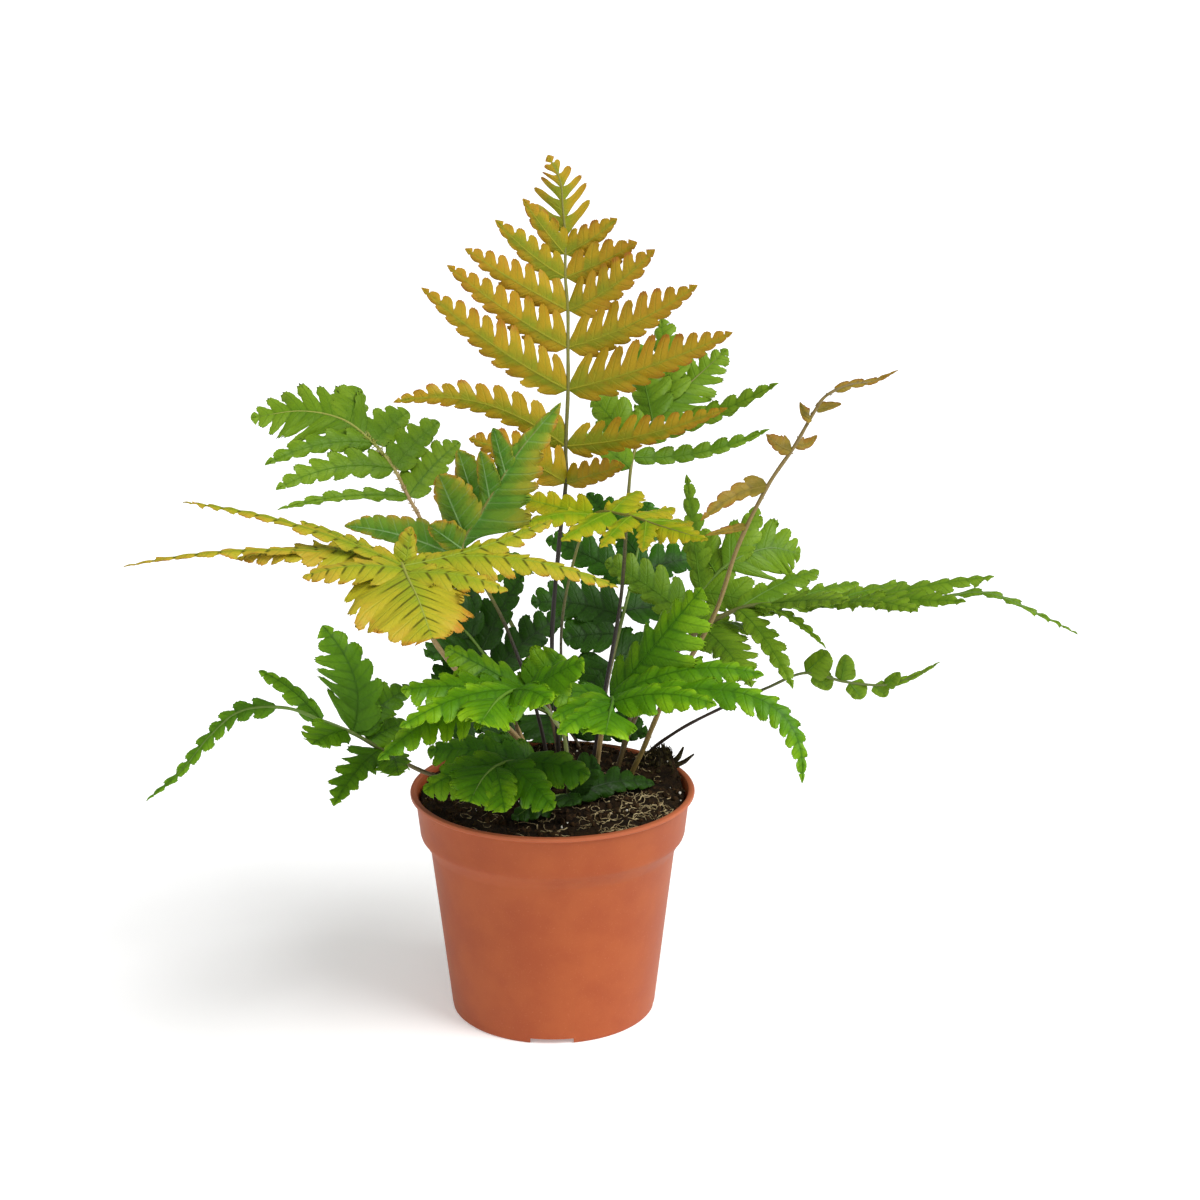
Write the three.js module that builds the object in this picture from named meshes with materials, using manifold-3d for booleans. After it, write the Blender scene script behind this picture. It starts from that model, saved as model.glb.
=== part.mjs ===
// A young autumn fern (Dryopteris erythrosora) in a 12 cm plastic nursery pot.
// Millimetres, +Z up, origin on the surface the pot stands on, at the pot's axis. The front is -Y.
// Every frond is one solid: a stalk that stands in its own hole in the soil, a rib that runs on
// from it, and lobed side leaves (pinnae) fused to the rib in pairs, up to one lobed tip.

import * as THREE from "three";
import { mergeVertices } from "three/addons/utils/BufferGeometryUtils.js";
import Module from "manifold-3d";

const wasm = await Module();
wasm.setup();

// Pot: height, radii and wall, and the collar that the rim stands out on
const POT_HEIGHT = 98;
const RIM_RADIUS = 60;
const FOOT_RADIUS = 43.4;
const WALL = 1.3;
const COLLAR_RADIUS = 56;
const COLLAR_DROP = 19;
const BODY_TOP = { r: 52, z: 73.5 };
const POT_SIDES = 32;
const FLOOR = { thick: 1.6, disc: 29, raise: 2.4, footWidth: 2.2 };
const NOTCH = { count: 4, width: 18, height: 2.3 };
const DRAIN = { count: 4, radius: 4, ring: 35, sides: 6 };

// Soil: its level, its rise to the back and to the crown, and the gap it keeps to what it touches
const SOIL_LEVEL = 94.4;
const SOIL_SLOPE = 0.038;
const CROWN_RISE = 3.5;
const CROWN = new THREE.Vector2(8, 12);
const CROWN_SPREAD = 26;
const CRUMB = 1.1;
const MOSS_HUMP = { x: 47, y: 24, rise: 9, spread: 8 };
const SOIL_RINGS = [12, 25, 38, 50];
const SOIL_SIDES = 22;
const GAP = 0.35;
const SEED = 11;

// A triangle flatter than this, left where two solids join, is dropped
const SLIVER = 0.05;

// Fronds: leaf thickness, stalk radii and how the lobes of a leaf are cut
const LEAF = 0.7;
const STALK_SIDES = 4;
const STALK_TIP_RADIUS = 0.5;
const NECK = 0.6;
const MM_PER_LOBE = 18.5;
const MOST_LOBES = 4;
const FOLD = -0.16;
const PINNA = { angle: 62, cut: 0.5, ease: 2.1 };
const TIP = { angle: 52, cut: 0.25 };
const WIDE_SIDE = 1.2;
const NARROW_SIDE = 0.8;
const TILT = 9;

const COLOURS = {
  copper: 0xb08a2c,
  amber: 0xc9b53a,
  green: 0x5c9a22,
  shade: 0x2f6212,
  straw: 0x9a8a3c,
  pot: 0xbb6040,
  soil: 0x2c2319,
};

// Each frond is listed by the line of its stalk and rib, from its root in the soil to its tip.
// A leaf is [place on that line, tip, width, rise of its middle]: place 4.5 is halfway from
// point 4 to point 5, and a leaf that bends sideways too has its whole shift as the rise.
// face is the way the upper side looks, and tip is [place, width, ease] of the lobed end, with
// the left half's share of its width where that is less. The lobes of a rounded frond are blunt,
// and the others come to a point.
const FRONDS = [
  {
    name: "frond_copper_tall",
    colour: "copper",
    rounded: true,
    stalk: 1.05,
    face: [0.05, -1, 0.2],
    path: [
      [4, 15, 82], [2, 7, 120], [0, 3, 160], [3, 3, 201], [6, 6, 228], [6, 8, 243], [7, 10, 266],
      [7, 12, 283], [7, 14, 298], [6, 16, 311], [6, 18, 320], [6, 19, 327], [5, 21, 339], [4, 23, 349],
      [-1, 25, 359],
    ],
    tip: [11, 34, 1.1],
    leaves: [
      [4, [-32, -24, 253], 22, 2], [4, [30, -14, 240], 15, 0], [5, [-63, -6, 264], 19, 9],
      [5, [71, -12, 263], 18, -3], [6, [-51, -4, 310], 23, -3], [6, [73, -4, 292], 25, -2],
      [7, [-41, 2, 318], 21, -2], [7, [59, 2, 310], 24, -3], [8, [-34, 6, 324], 19, -1],
      [8, [42, 4, 324], 22, -3], [9, [-22, 10, 335], 16, -2], [9, [35, 10, 326], 18, -1],
      [10, [-11, 14, 343], 13, -1], [10, [27, 14, 335], 14, -1],
    ],
  },
  {
    name: "frond_green_behind",
    colour: "green",
    stalk: 0.95,
    face: [-0.2, -0.8, 0.6],
    path: [
      [14, 25, 82], [22, 30, 130], [29, 36, 171], [32, 44, 213], [34, 50, 229], [38, 56, 236],
      [47, 68, 246], [60, 80, 256], [76, 92, 268],
    ],
    tip: [5.6, 42, 1.6],
    leaves: [
      [3.6, [13, 34, 240], 15, 2], [4, [93, 60, 239], 10, -4], [4.4, [17, 62, 252], 24, 1],
      [5, [95, 40, 263], 13, -2], [5.6, [36, 92, 270], 22, 0], [6.2, [47, 100, 280], 22, 0],
    ],
  },
  {
    name: "frond_green_high_left",
    colour: "green",
    stalk: 1.05,
    face: [0.25, -0.7, 0.75],
    path: [
      [-4, 19, 82], [-13, 19, 112], [-30, 20, 148], [-46, 18, 184], [-54, 20, 207], [-60, 23, 218],
      [-66, 27, 229], [-75, 32, 239], [-88, 37, 248], [-106, 40, 251], [-127, 40, 248],
    ],
    tip: [7.3, 46, 1.9],
    leaves: [
      [5, [-112, 0, 218], 7, 3], [5, [-40, 56, 234], 19, 2], [6, [-113, 6, 225], 17, 5],
      [6, [-49, 60, 242], 18, 2], [7, [-118, 12, 234], 13, 4], [7, [-62, 58, 247], 20, 1],
      [7.8, [-83, 56, 258], 20, 0],
    ],
  },
  {
    name: "frond_amber_arching",
    colour: "amber",
    stalk: 1.25,
    face: [0.1, -0.45, 1],
    path: [
      [-5, 6, 82], [-9, -4, 112], [-22, -28, 139], [-38, -50, 167], [-46, -60, 183], [-54, -70, 204],
      [-55, -80, 217], [-51, -100, 217], [-46, -116, 213], [-40, -134, 204],
    ],
    tip: [6.2, 60, 3, 0.8],
    leaves: [
      [5.3, [-52, -66, 228], 13, 0], [5.9, [-97, -46, 225], 17, 1], [6, [-162, -70, 213], 8, 6],
      [6, [-119, -70, 216], 24, 5], [6, [27, -78, 207], 24, 7], [6.4, [-142, -48, 233], 8, 4],
      [6.4, [2, -60, 229], 20, -2], [6.6, [-90, -100, 217], 24, 3], [6.8, [-14, -100, 212], 21, 3],
    ],
  },
  {
    name: "frond_amber_upright",
    colour: "amber",
    stalk: 0.8,
    face: [-0.15, -1, 0.25],
    path: [
      [2, 2, 82], [-5, -10, 130], [-16, -28, 172], [-24, -37, 193], [-34, -43, 213], [-26, -46, 229],
      [-19, -48, 241], [-10, -48, 255], [5, -45, 272],
    ],
    tip: [4, 42, 1.7, 0.4],
    leaves: [
      [3.7, [-81, -34, 220], 17, 3], [4, [-46, -56, 226], 14, 0], [4.3, [-42, -52, 245], 21, 0],
      [4.85, [-35, -44, 253], 16, 0], [5.45, [-26, -50, 254], 11, 0], [6.3, [-21, -50, 263], 10, 0],
    ],
  },
  {
    name: "frond_lime_middle",
    colour: "amber",
    stalk: 0.7,
    face: [0, -0.55, 1],
    path: [
      [9, 6, 82], [6, 0, 120], [4, -8, 166], [9, -14, 199], [17, -21, 221], [30, -36, 225],
      [42, -52, 225], [61, -72, 224],
    ],
    tip: [5.8, 21, 1.4],
    leaves: [
      [4, [-16, 0, 224], 20, 0], [4, [-12, -46, 222], 17, 3], [4.6, [5, -58, 220], 17, 1],
      [4.6, [36, 4, 225], 17, 1], [5.2, [20, -72, 221], 14, 1], [5.2, [50, -8, 221], 15, 0],
      [5.7, [36, -82, 222], 12, 0], [5.6, [57, -28, 220], 13, 0],
    ],
  },
  {
    name: "frond_straw_stem",
    colour: "straw",
    stalk: 1.25,
    face: [-0.2, -1, 0.3],
    path: [
      [30, 15, 82], [33, 12, 98], [38, 6, 112], [43, -2, 128], [48, -10, 143], [58, -22, 164],
      [67, -27, 184], [75, -30, 211], [86, -33, 236], [96, -34, 252], [103, -34, 265], [108, -33, 272],
      [117, -31, 276], [127, -28, 277], [137, -26, 281],
    ],
    tip: [11.4, 5, 1.3],
    leaves: [
      [8, [59, -50, 226], 10, 3], [7.3, [61, -45, 219], 4, 0], [8.9, [84, -48, 260], 9, -1],
      [9.1, [106, -22, 254], 6, -2], [9.9, [97, -44, 272], 6, -2], [10.2, [115, -24, 267], 5, 0],
    ],
  },
  {
    name: "frond_green_reaching",
    colour: "green",
    stalk: 1.15,
    face: [0, -0.5, 1],
    path: [
      [23, 18, 82], [33, 17, 118], [46, 17, 143], [60, 17, 160], [78, 17, 171], [96, 15, 174],
      [114, 12, 175], [134, 6, 179], [151, 2, 179], [178, -4, 184], [200, -8, 176], [216, -10, 168],
    ],
    tip: [8.6, 6, 1.2],
    leaves: [
      [3.2, [81, -34, 153], 22, 3], [3.4, [97, 58, 149], 18, 1], [4, [98, -30, 151], 14, 4],
      [4, [114, 46, 180], 20, 2], [4.4, [111, -30, 168], 6, 4], [4.7, [120, -30, 188], 17, 1],
      [5, [131, 40, 176], 17, 1], [5.6, [134, -24, 185], 15, 1], [6, [150, 26, 180], 15, 1],
      [6.7, [149, -18, 180], 13, 1], [6.8, [184, 10, 187], 15, 1], [7.1, [169, -14, 183], 12, 0],
    ],
  },
  {
    name: "frond_green_upper_right",
    colour: "green",
    stalk: 1.0,
    face: [-0.1, -0.9, 0.55],
    path: [
      [25, 26, 82], [34, 30, 122], [47, 36, 150], [62, 44, 169], [76, 47, 183], [93, 53, 188],
      [107, 58, 184],
    ],
    tip: [3.8, 41, 2],
    leaves: [
      [2.6, [22, 44, 184], 22, 2], [2.6, [80, 25, 148], 20, 1], [3.1, [57, 52, 221], 13, 0],
      [3.1, [92, 34, 165], 22, 2], [3.6, [56, 74, 190], 20, 2], [4, [88, 64, 204], 15, 0],
    ],
  },
  {
    name: "frond_sprig_right",
    colour: "green",
    stalk: 0.8,
    face: [-0.2, -1, 0.6],
    path: [
      [32, 28, 82], [39, 27, 101], [53, 22, 115], [72, 18, 127], [90, 8, 139], [106, 4, 147],
      [122, -2, 145], [138, -6, 145], [150, -9, 150], [160, -12, 157],
    ],
    tip: [7.2, 4, 1.3],
    leaves: [
      [5, [115, 2, 157], 13, 0], [5.2, [116, 0, 141], 9, 0], [5.9, [122, -2, 157], 9, 0],
      [6.1, [129, -6, 139], 9, 0], [6.7, [139, -6, 140], 7, 0], [7, [144, -8, 151], 6, 0],
    ],
  },
  {
    name: "frond_green_front_right",
    colour: "green",
    stalk: 1.15,
    face: [0, -0.75, 0.9],
    path: [
      [16, 4, 82], [19, -6, 112], [21, -27, 133], [24, -50, 153], [25, -72, 160], [24, -90, 162],
      [22, -106, 158],
    ],
    tip: [5, 30, 1.6],
    leaves: [
      [3, [60, -50, 199], 35, 0], [3.1, [-2, -64, 160], 20, 2], [3.3, [84, -62, 167], 22, 7],
      [3.8, [97, -94, 134], 17, [20, 0, 17]], [3.9, [2, -88, 158], 19, 2], [4.3, [64, -96, 166], 19, 4],
      [4.5, [4, -106, 158], 16, 2],
    ],
  },
  {
    name: "frond_green_front_left",
    colour: "green",
    stalk: 0.95,
    face: [0, -0.7, 0.9],
    path: [
      [7, -3, 82], [6, -22, 124], [2, -46, 143], [-4, -66, 158], [-11, -86, 169], [-18, -104, 171],
      [-24, -120, 167],
    ],
    tip: [4.9, 30, 1.6],
    leaves: [
      [3, [-40, -64, 179], 26, 1], [3.1, [4, -62, 176], 24, 0], [3.2, [-56, -84, 168], 29, 3],
      [3.4, [-63, -110, 149], 26, 8], [3.6, [14, -84, 180], 22, 1], [4.2, [-54, -116, 164], 20, 4],
      [4.3, [2, -110, 172], 20, 2],
    ],
  },
  {
    name: "frond_green_over_rim",
    colour: "green",
    stalk: 0.9,
    face: [-0.2, -0.75, 0.8],
    path: [
      [0, -9, 82], [-2, -17, 105], [-8, -35, 120], [-17, -50, 127], [-25, -62, 126], [-31, -74, 119],
    ],
    tip: [3.5, 34, 1.8],
    leaves: [
      [2.2, [-50, -34, 126], 27, 3], [1.8, [-30, -30, 130], 20, 3], [2.4, [16, -50, 121], 22, 2],
      [3, [-50, -60, 118], 26, 3], [3.1, [2, -74, 116], 22, 2], [3.5, [-17, -80, 117], 20, 1],
    ],
  },
  {
    name: "frond_green_low_left",
    colour: "green",
    stalk: 1.0,
    face: [-0.1, -0.8, 0.8],
    path: [
      [-14, 3, 82], [-25, -12, 101], [-41, -26, 110], [-54, -34, 118], [-67, -40, 128], [-79, -44, 137],
      [-91, -46, 143], [-105, -48, 149], [-122, -52, 149], [-134, -55, 140], [-146, -58, 126],
      [-160, -60, 114],
    ],
    tip: [7.2, 13, 1.3],
    leaves: [
      [4.1, [-83, -84, 121], 18, 3], [3.8, [-59, -66, 127], 19, 2], [4.9, [-57, -20, 148], 20, 3],
      [4.5, [-59, -22, 134], 17, 1], [5, [-91, -34, 179], 30, [7, 0, 0]], [5.2, [-92, -72, 142], 20, 1],
      [6, [-118, -28, 158], 10, 3],
    ],
  },
  {
    name: "frond_shade_behind",
    colour: "shade",
    stalk: 1.0,
    face: [0, -0.8, 0.6],
    path: [
      [18, 32, 82], [22, 39, 124], [28, 50, 150], [34, 66, 170], [38, 84, 185], [42, 104, 196],
    ],
    tip: [3.8, 32, 1.6],
    leaves: [
      [1.5, [15, 40, 127], 20, 2], [2, [4, 46, 149], 24, 1], [1.6, [48, 56, 135], 22, 3],
      [2.3, [-10, 50, 164], 26, 3], [2.4, [64, 70, 152], 22, 3], [3, [-4, 74, 186], 22, 2],
      [3.1, [72, 92, 172], 20, 3], [3.6, [14, 104, 200], 18, 1],
    ],
  },
  {
    name: "frond_shade_left",
    colour: "shade",
    stalk: 0.95,
    face: [-0.1, -0.8, 0.7],
    path: [
      [-10, 12, 82], [-14, 3, 118], [-20, -5, 144], [-28, -11, 160], [-36, -15, 172], [-45, -19, 180],
    ],
    tip: [3.6, 30, 1.6],
    leaves: [
      [2.3, [-48, -24, 152], 20, 3], [2.4, [6, 18, 168], 20, 3], [2.9, [-50, -34, 166], 19, 3],
      [3.1, [-12, 10, 188], 18, 2], [3.6, [-34, 8, 196], 16, 1],
    ],
  },
  {
    name: "frond_shade_low",
    colour: "shade",
    stalk: 0.85,
    face: [0, -0.8, 0.7],
    path: [
      [13, 44, 82], [10, 50, 100], [-2, 53, 112], [-18, 53, 118], [-34, 49, 119], [-48, 43, 117],
    ],
    tip: [3.8, 24, 1.6],
    leaves: [
      [1.4, [41, 48, 104], 22, 3], [1.7, [20, 62, 115], 22, 2], [2.1, [-1, 64, 118], 20, 2],
      [2, [-3, 30, 107], 30, 3], [2.7, [-24, 62, 118], 21, 2], [2.9, [-24, 28, 107], 26, 3],
      [3.4, [-44, 56, 118], 19, 2], [3.5, [-41, 26, 109], 24, 3],
    ],
  },
  {
    name: "frond_shade_over_soil",
    colour: "shade",
    stalk: 0.75,
    face: [0, -0.6, 1],
    path: [
      [13, -10, 82], [11, -17, 98], [4, -24, 103], [-6, -31, 102], [-16, -36, 97],
    ],
    tip: [2.3, 18, 1.6],
    leaves: [
      [1.4, [19, -18, 115], 17, 2], [1.3, [43, 2, 98], 17, 4], [1.8, [9, -36, 103], 15, 2],
    ],
  },
  {
    name: "frond_green_back_left",
    colour: "green",
    stalk: 1.1,
    face: [0.1, 0.5, 1],
    path: [
      [3, 24, 82], [0, 24, 118], [-14, 48, 146], [-31, 80, 166], [-44, 106, 174], [-56, 130, 172],
      [-66, 150, 162],
    ],
    tip: [4.5, 30, 1.5],
    leaves: [
      [3, [-72, 62, 164], 20, 5], [3, [14, 92, 164], 20, 5], [3.7, [-84, 92, 164], 19, 4],
      [3.7, [-2, 122, 160], 19, 4],
    ],
  },
  {
    name: "frond_green_back_right",
    colour: "green",
    stalk: 1.1,
    face: [-0.1, 0.5, 1],
    path: [
      [27, 36, 82], [33, 47, 112], [44, 72, 134], [56, 100, 146], [68, 126, 146], [80, 148, 136],
    ],
    tip: [3.6, 30, 1.5],
    leaves: [
      [2.2, [6, 92, 134], 19, 5], [2.2, [86, 66, 128], 19, 5], [2.9, [18, 120, 138], 18, 4],
      [2.9, [102, 92, 132], 18, 4],
    ],
  },
];

const vec = (p) => new THREE.Vector3(...p);

// A repeatable random number from 0 to 1
let state = SEED;
function random() {
  state = (state * 16807) % 2147483647;
  return state / 2147483647;
}

// A solid from points and the triangles between them, seen from outside turning left
function solidOf(points, faces) {
  const vertProperties = new Float32Array(points.flatMap((p) => p.toArray()));
  const triVerts = new Uint32Array(faces.flat());
  return new wasm.Manifold(new wasm.Mesh({ numProp: 3, vertProperties, triVerts }));
}

function solidOfGeometry(geometry) {
  geometry.deleteAttribute("normal");
  geometry.deleteAttribute("uv");
  const merged = mergeVertices(geometry, 1e-3);
  const vertProperties = merged.attributes.position.array;
  const triVerts = new Uint32Array(merged.index.array);
  return new wasm.Manifold(new wasm.Mesh({ numProp: 3, vertProperties, triVerts }));
}

// The largest body of a solid: a scrap that a cut leaves loose is dropped
function largest(solid) {
  return solid.decompose().sort((a, b) => b.volume() - a.volume())[0];
}

function meshOf(name, solid, colour, roughness) {
  const { vertProperties, triVerts } = largest(solid).simplify(SLIVER).getMesh();
  const geometry = new THREE.BufferGeometry();
  geometry.setAttribute("position", new THREE.BufferAttribute(vertProperties, 3));
  geometry.setIndex(new THREE.BufferAttribute(triVerts, 1));
  geometry.computeVertexNormals();
  const material = new THREE.MeshStandardMaterial({ color: COLOURS[colour], roughness, metalness: 0 });
  const mesh = new THREE.Mesh(geometry, material);
  mesh.name = name;
  return mesh;
}

// Pot: one turned wall with a stepped collar, a floor that is raised in a ring round its middle
// disc, drain holes in that ring and notches in the foot that let the water out
function pot() {
  const collarEnd = POT_HEIGHT - COLLAR_DROP;
  const channel = FOOT_RADIUS - FLOOR.footWidth;
  const { thick, disc, raise } = FLOOR;
  const profile = [
    [0, 0], [disc, 0], [disc + 2, raise], [channel, raise], [channel, 0], [FOOT_RADIUS, 0],
    [BODY_TOP.r, BODY_TOP.z], [COLLAR_RADIUS - 0.9, collarEnd - 0.8], [COLLAR_RADIUS, collarEnd + 0.6],
    [RIM_RADIUS - 2.2, POT_HEIGHT - 2.6], [RIM_RADIUS, POT_HEIGHT - 1.8],
    [RIM_RADIUS - 0.4, POT_HEIGHT], [RIM_RADIUS - 2.4, POT_HEIGHT], [COLLAR_RADIUS - WALL, collarEnd + 0.6],
    [BODY_TOP.r - WALL, BODY_TOP.z + 0.6], [FOOT_RADIUS - WALL, raise + thick],
    [disc + 1, raise + thick], [disc - 1, thick], [0, thick],
  ];
  const points = profile.map(([r, z]) => new THREE.Vector2(r, z));
  const turned = new THREE.LatheGeometry(points, POT_SIDES).rotateX(Math.PI / 2);
  let solid = solidOfGeometry(turned);
  if (solid.volume() < 0) throw new Error("the pot's profile runs the wrong way");
  for (let k = 0; k < NOTCH.count; k++) {
    const angle = (k / NOTCH.count) * 2 * Math.PI;
    const box = new THREE.BoxGeometry(12, NOTCH.width, 2 * NOTCH.height);
    box.translate(FOOT_RADIUS, 0, 0).rotateZ(angle);
    solid = solid.subtract(solidOfGeometry(box));
    const hole = new THREE.CylinderGeometry(DRAIN.radius, DRAIN.radius, 9, DRAIN.sides);
    hole.rotateX(Math.PI / 2).translate(DRAIN.ring, 0, raise).rotateZ(angle);
    solid = solid.subtract(solidOfGeometry(hole));
  }
  return solid;
}

// The pot's inner radius at a height, less the gap
function insideRadius(z) {
  const collarEnd = POT_HEIGHT - COLLAR_DROP + 0.6;
  const low = BODY_TOP.z + 0.6;
  const lerp = THREE.MathUtils.mapLinear;
  const mouth = RIM_RADIUS - 2.4;
  if (z > collarEnd) return lerp(z, collarEnd, POT_HEIGHT, COLLAR_RADIUS - WALL, mouth) - GAP - 0.2;
  if (z > low) return lerp(z, low, collarEnd, BODY_TOP.r - WALL, COLLAR_RADIUS - WALL) - GAP - 0.2;
  return lerp(z, FLOOR.raise + FLOOR.thick, low, FOOT_RADIUS - WALL, BODY_TOP.r - WALL) - GAP - 0.2;
}

// Soil: a plug that fills the pot, heaped a little at the crown and under the moss
function soil() {
  const points = [];
  const faces = [];
  const ring = (radius, height) => {
    const first = points.length;
    for (let k = 0; k < SOIL_SIDES; k++) {
      const a = (k / SOIL_SIDES) * 2 * Math.PI;
      const x = radius * Math.cos(a);
      const y = radius * Math.sin(a);
      points.push(new THREE.Vector3(x, y, height(x, y)));
    }
    return first;
  };
  const hump = (x, y, at, spread) => Math.exp(-((x - at.x) ** 2 + (y - at.y) ** 2) / (2 * spread ** 2));
  const surface = (x, y) =>
    SOIL_LEVEL +
    SOIL_SLOPE * y +
    CROWN_RISE * hump(x, y, CROWN, CROWN_SPREAD) +
    MOSS_HUMP.rise * hump(x, y, MOSS_HUMP, MOSS_HUMP.spread) +
    CRUMB * (2 * random() - 1);
  const edge = (x, y) => SOIL_LEVEL + SOIL_SLOPE * y - 1.5;
  const step = BODY_TOP.z + 0.6;
  const collar = POT_HEIGHT - COLLAR_DROP + 0.6;
  const base = FLOOR.raise + FLOOR.thick + GAP;
  const rings = [
    ...SOIL_RINGS.map((r) => [r, surface]),
    [insideRadius(edge(0, -RIM_RADIUS)), edge],
    [insideRadius(collar), () => collar],
    [insideRadius(step), () => step],
    [insideRadius(base), () => base],
  ];
  points.push(new THREE.Vector3(0, 0, surface(0, 0)));
  let last = null;
  for (const [radius, height] of rings) {
    const first = ring(radius, height);
    for (let k = 0; k < SOIL_SIDES; k++) {
      const next = (k + 1) % SOIL_SIDES;
      if (last === null) faces.push([0, first + k, first + next]);
      else faces.push([last + k, first + k, first + next], [last + k, first + next, last + next]);
    }
    last = first;
  }
  const bottom = points.push(new THREE.Vector3(0, 0, base)) - 1;
  for (let k = 0; k < SOIL_SIDES; k++) faces.push([last + ((k + 1) % SOIL_SIDES), last + k, bottom]);
  return solidOf(points, faces);
}

// The line of a frond, straight from point to point of its path, and its smoothed direction, at a
// place counted in those points
function lineOf(frond) {
  const points = frond.path.map(vec);
  const curve = new THREE.CatmullRomCurve3(points, false, "catmullrom", 0.5);
  const last = points.length - 1;
  const at = (place) => {
    const k = Math.min(Math.floor(place), last - 1);
    return points[k].clone().lerp(points[k + 1], place - k);
  };
  return { last, at, along: (place) => curve.getTangent(place / last) };
}

// A tapering stalk: a ring of points at each of some places on the line, closed at both ends
function stalk(line, places, radius) {
  const points = [];
  const faces = [];
  let side = new THREE.Vector3(1, 0, 0);
  for (const place of places) {
    const centre = line.at(place);
    const along = line.along(place);
    side = side.clone().addScaledVector(along, -side.dot(along)).normalize();
    const up = new THREE.Vector3().crossVectors(along, side);
    for (let k = 0; k < STALK_SIDES; k++) {
      const a = (k / STALK_SIDES) * 2 * Math.PI;
      const out = side.clone().multiplyScalar(Math.cos(a)).addScaledVector(up, Math.sin(a));
      points.push(centre.clone().addScaledVector(out, radius(place)));
    }
  }
  const n = STALK_SIDES;
  const steps = places.length - 1;
  for (let i = 0; i < steps; i++) {
    for (let k = 0; k < n; k++) {
      const a = i * n + k;
      const b = i * n + ((k + 1) % n);
      faces.push([a, b, b + n], [a, b + n, a + n]);
    }
  }
  for (let k = 1; k < n - 1; k++) {
    faces.push([0, k + 1, k], [steps * n, steps * n + k, steps * n + k + 1]);
  }
  return solidOf(points, faces);
}

// Half the width of a leaf along its rib, as a share of its widest. A low ease makes a triangle
// of it, a high one a tongue.
const fullness = (s, ease) => Math.min(0.9 + 1.6 * s, 1) * (1 - s ** ease) ** 0.85;
// Places of the cuts between lobes: closer together towards the tip
const cutPlace = (i, lobes) => 1 - (1 - i / (lobes + 0.8)) ** 1.15;

// A thin leaf cut into lobes on both sides of its rib. rib(s) gives a point, the direction and
// the upper side's normal. Both faces have the same triangles, one leaf's thickness apart.
// sides holds the share of the width that the left and the right half take.
function leaf(rib, { width, sides, lobes, angle, cut, blunt, ease }) {
  const top = [];
  const faces = [];
  const lean = Math.cos(THREE.MathUtils.degToRad(angle));
  const reach = Math.sin(THREE.MathUtils.degToRad(angle));
  const place = (s, across, forward) => {
    const { point, along, normal } = rib(s);
    const side = new THREE.Vector3().crossVectors(along, normal);
    const out = point.clone().addScaledVector(side, across).addScaledVector(along, forward);
    const fold = FOLD * Math.abs(across);
    top.push({ p: out.addScaledVector(normal, fold), normal });
    return top.length - 1;
  };
  const half = (s) => (width / 2) * fullness(s, ease);
  const cuts = [];
  for (let i = 0; i <= lobes; i++) {
    const s = cutPlace(i, lobes);
    const [l, r] = sides.map((share) => (i === 0 ? NECK : Math.max(NECK, cut * share * half(s))));
    cuts.push([place(s, -l, 0), place(s, r, 0)]);
  }
  const outline = [[], []];
  for (let i = 0; i < lobes; i++) {
    const [l0, r0] = cuts[i];
    const [l1, r1] = cuts[i + 1];
    faces.push([l0, r0, r1], [l0, r1, l1]);
    const from = cutPlace(i, lobes);
    const to = cutPlace(i + 1, lobes);
    const middle = (from + to) / 2;
    for (const [hand, sign] of [[0, -1], [1, 1]]) {
      const w = sides[hand] * half(middle);
      const [start, end] = hand ? [r0, r1] : [l0, l1];
      const shares = blunt ? [0.24, 0.86] : [0.6];
      const ends = shares.map((q) => place(THREE.MathUtils.lerp(from, to, q), sign * w * reach, w * lean));
      const loop = [start, ...ends, end];
      for (let k = 1; k < loop.length - 1; k++) {
        faces.push(hand ? [loop[0], loop[k], loop[k + 1]] : [loop[0], loop[k + 1], loop[k]]);
      }
      outline[hand].push(start, ...ends);
    }
  }
  const [l, r] = cuts[lobes];
  const end = place(1, 0, 0);
  faces.push([l, r, end]);
  const round = [...outline[1], r, end, l, ...outline[0].reverse()];
  const count = top.length;
  const points = [
    ...top.map(({ p, normal }) => p.clone().addScaledVector(normal, LEAF / 2)),
    ...top.map(({ p, normal }) => p.clone().addScaledVector(normal, -LEAF / 2)),
  ];
  const under = faces.map(([a, b, c]) => [a + count, c + count, b + count]);
  const rim = round.flatMap((a, k) => {
    const b = round[(k + 1) % round.length];
    return [[a + count, b + count, b], [a + count, b, a]];
  });
  return solidOf(points, [...faces, ...under, ...rim]);
}

const upright = (normal, along) => normal.clone().addScaledVector(along, -normal.dot(along)).normalize();

// A side leaf, from the frond's rib out to its own tip, bent by the rise of its middle. The half
// that lies towards the frond's tip is wider, and tilted forward so that it passes over the next.
function pinna(line, face, blunt, [place, tipAt, width, rise]) {
  const start = line.at(place);
  const end = vec(tipAt);
  const bend = Array.isArray(rise) ? vec(rise) : new THREE.Vector3(0, 0, rise);
  const middle = start.clone().lerp(end, 0.5).addScaledVector(bend, 2);
  const curve = new THREE.QuadraticBezierCurve3(start, middle, end);
  const length = curve.getLength();
  const outward = end.clone().sub(start);
  const wideRight = outward.cross(face).dot(line.along(place)) > 0;
  const tilt = THREE.MathUtils.degToRad(wideRight ? -TILT : TILT);
  const rib = (s) => {
    const along = curve.getTangent(s);
    return { point: curve.getPoint(s), along, normal: upright(face, along).applyAxisAngle(along, tilt) };
  };
  const lobes = THREE.MathUtils.clamp(Math.round(length / MM_PER_LOBE), 1, MOST_LOBES);
  const sides = wideRight ? [NARROW_SIDE, WIDE_SIDE] : [WIDE_SIDE, NARROW_SIDE];
  return leaf(rib, { width, sides, lobes, blunt, ...PINNA });
}

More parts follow.
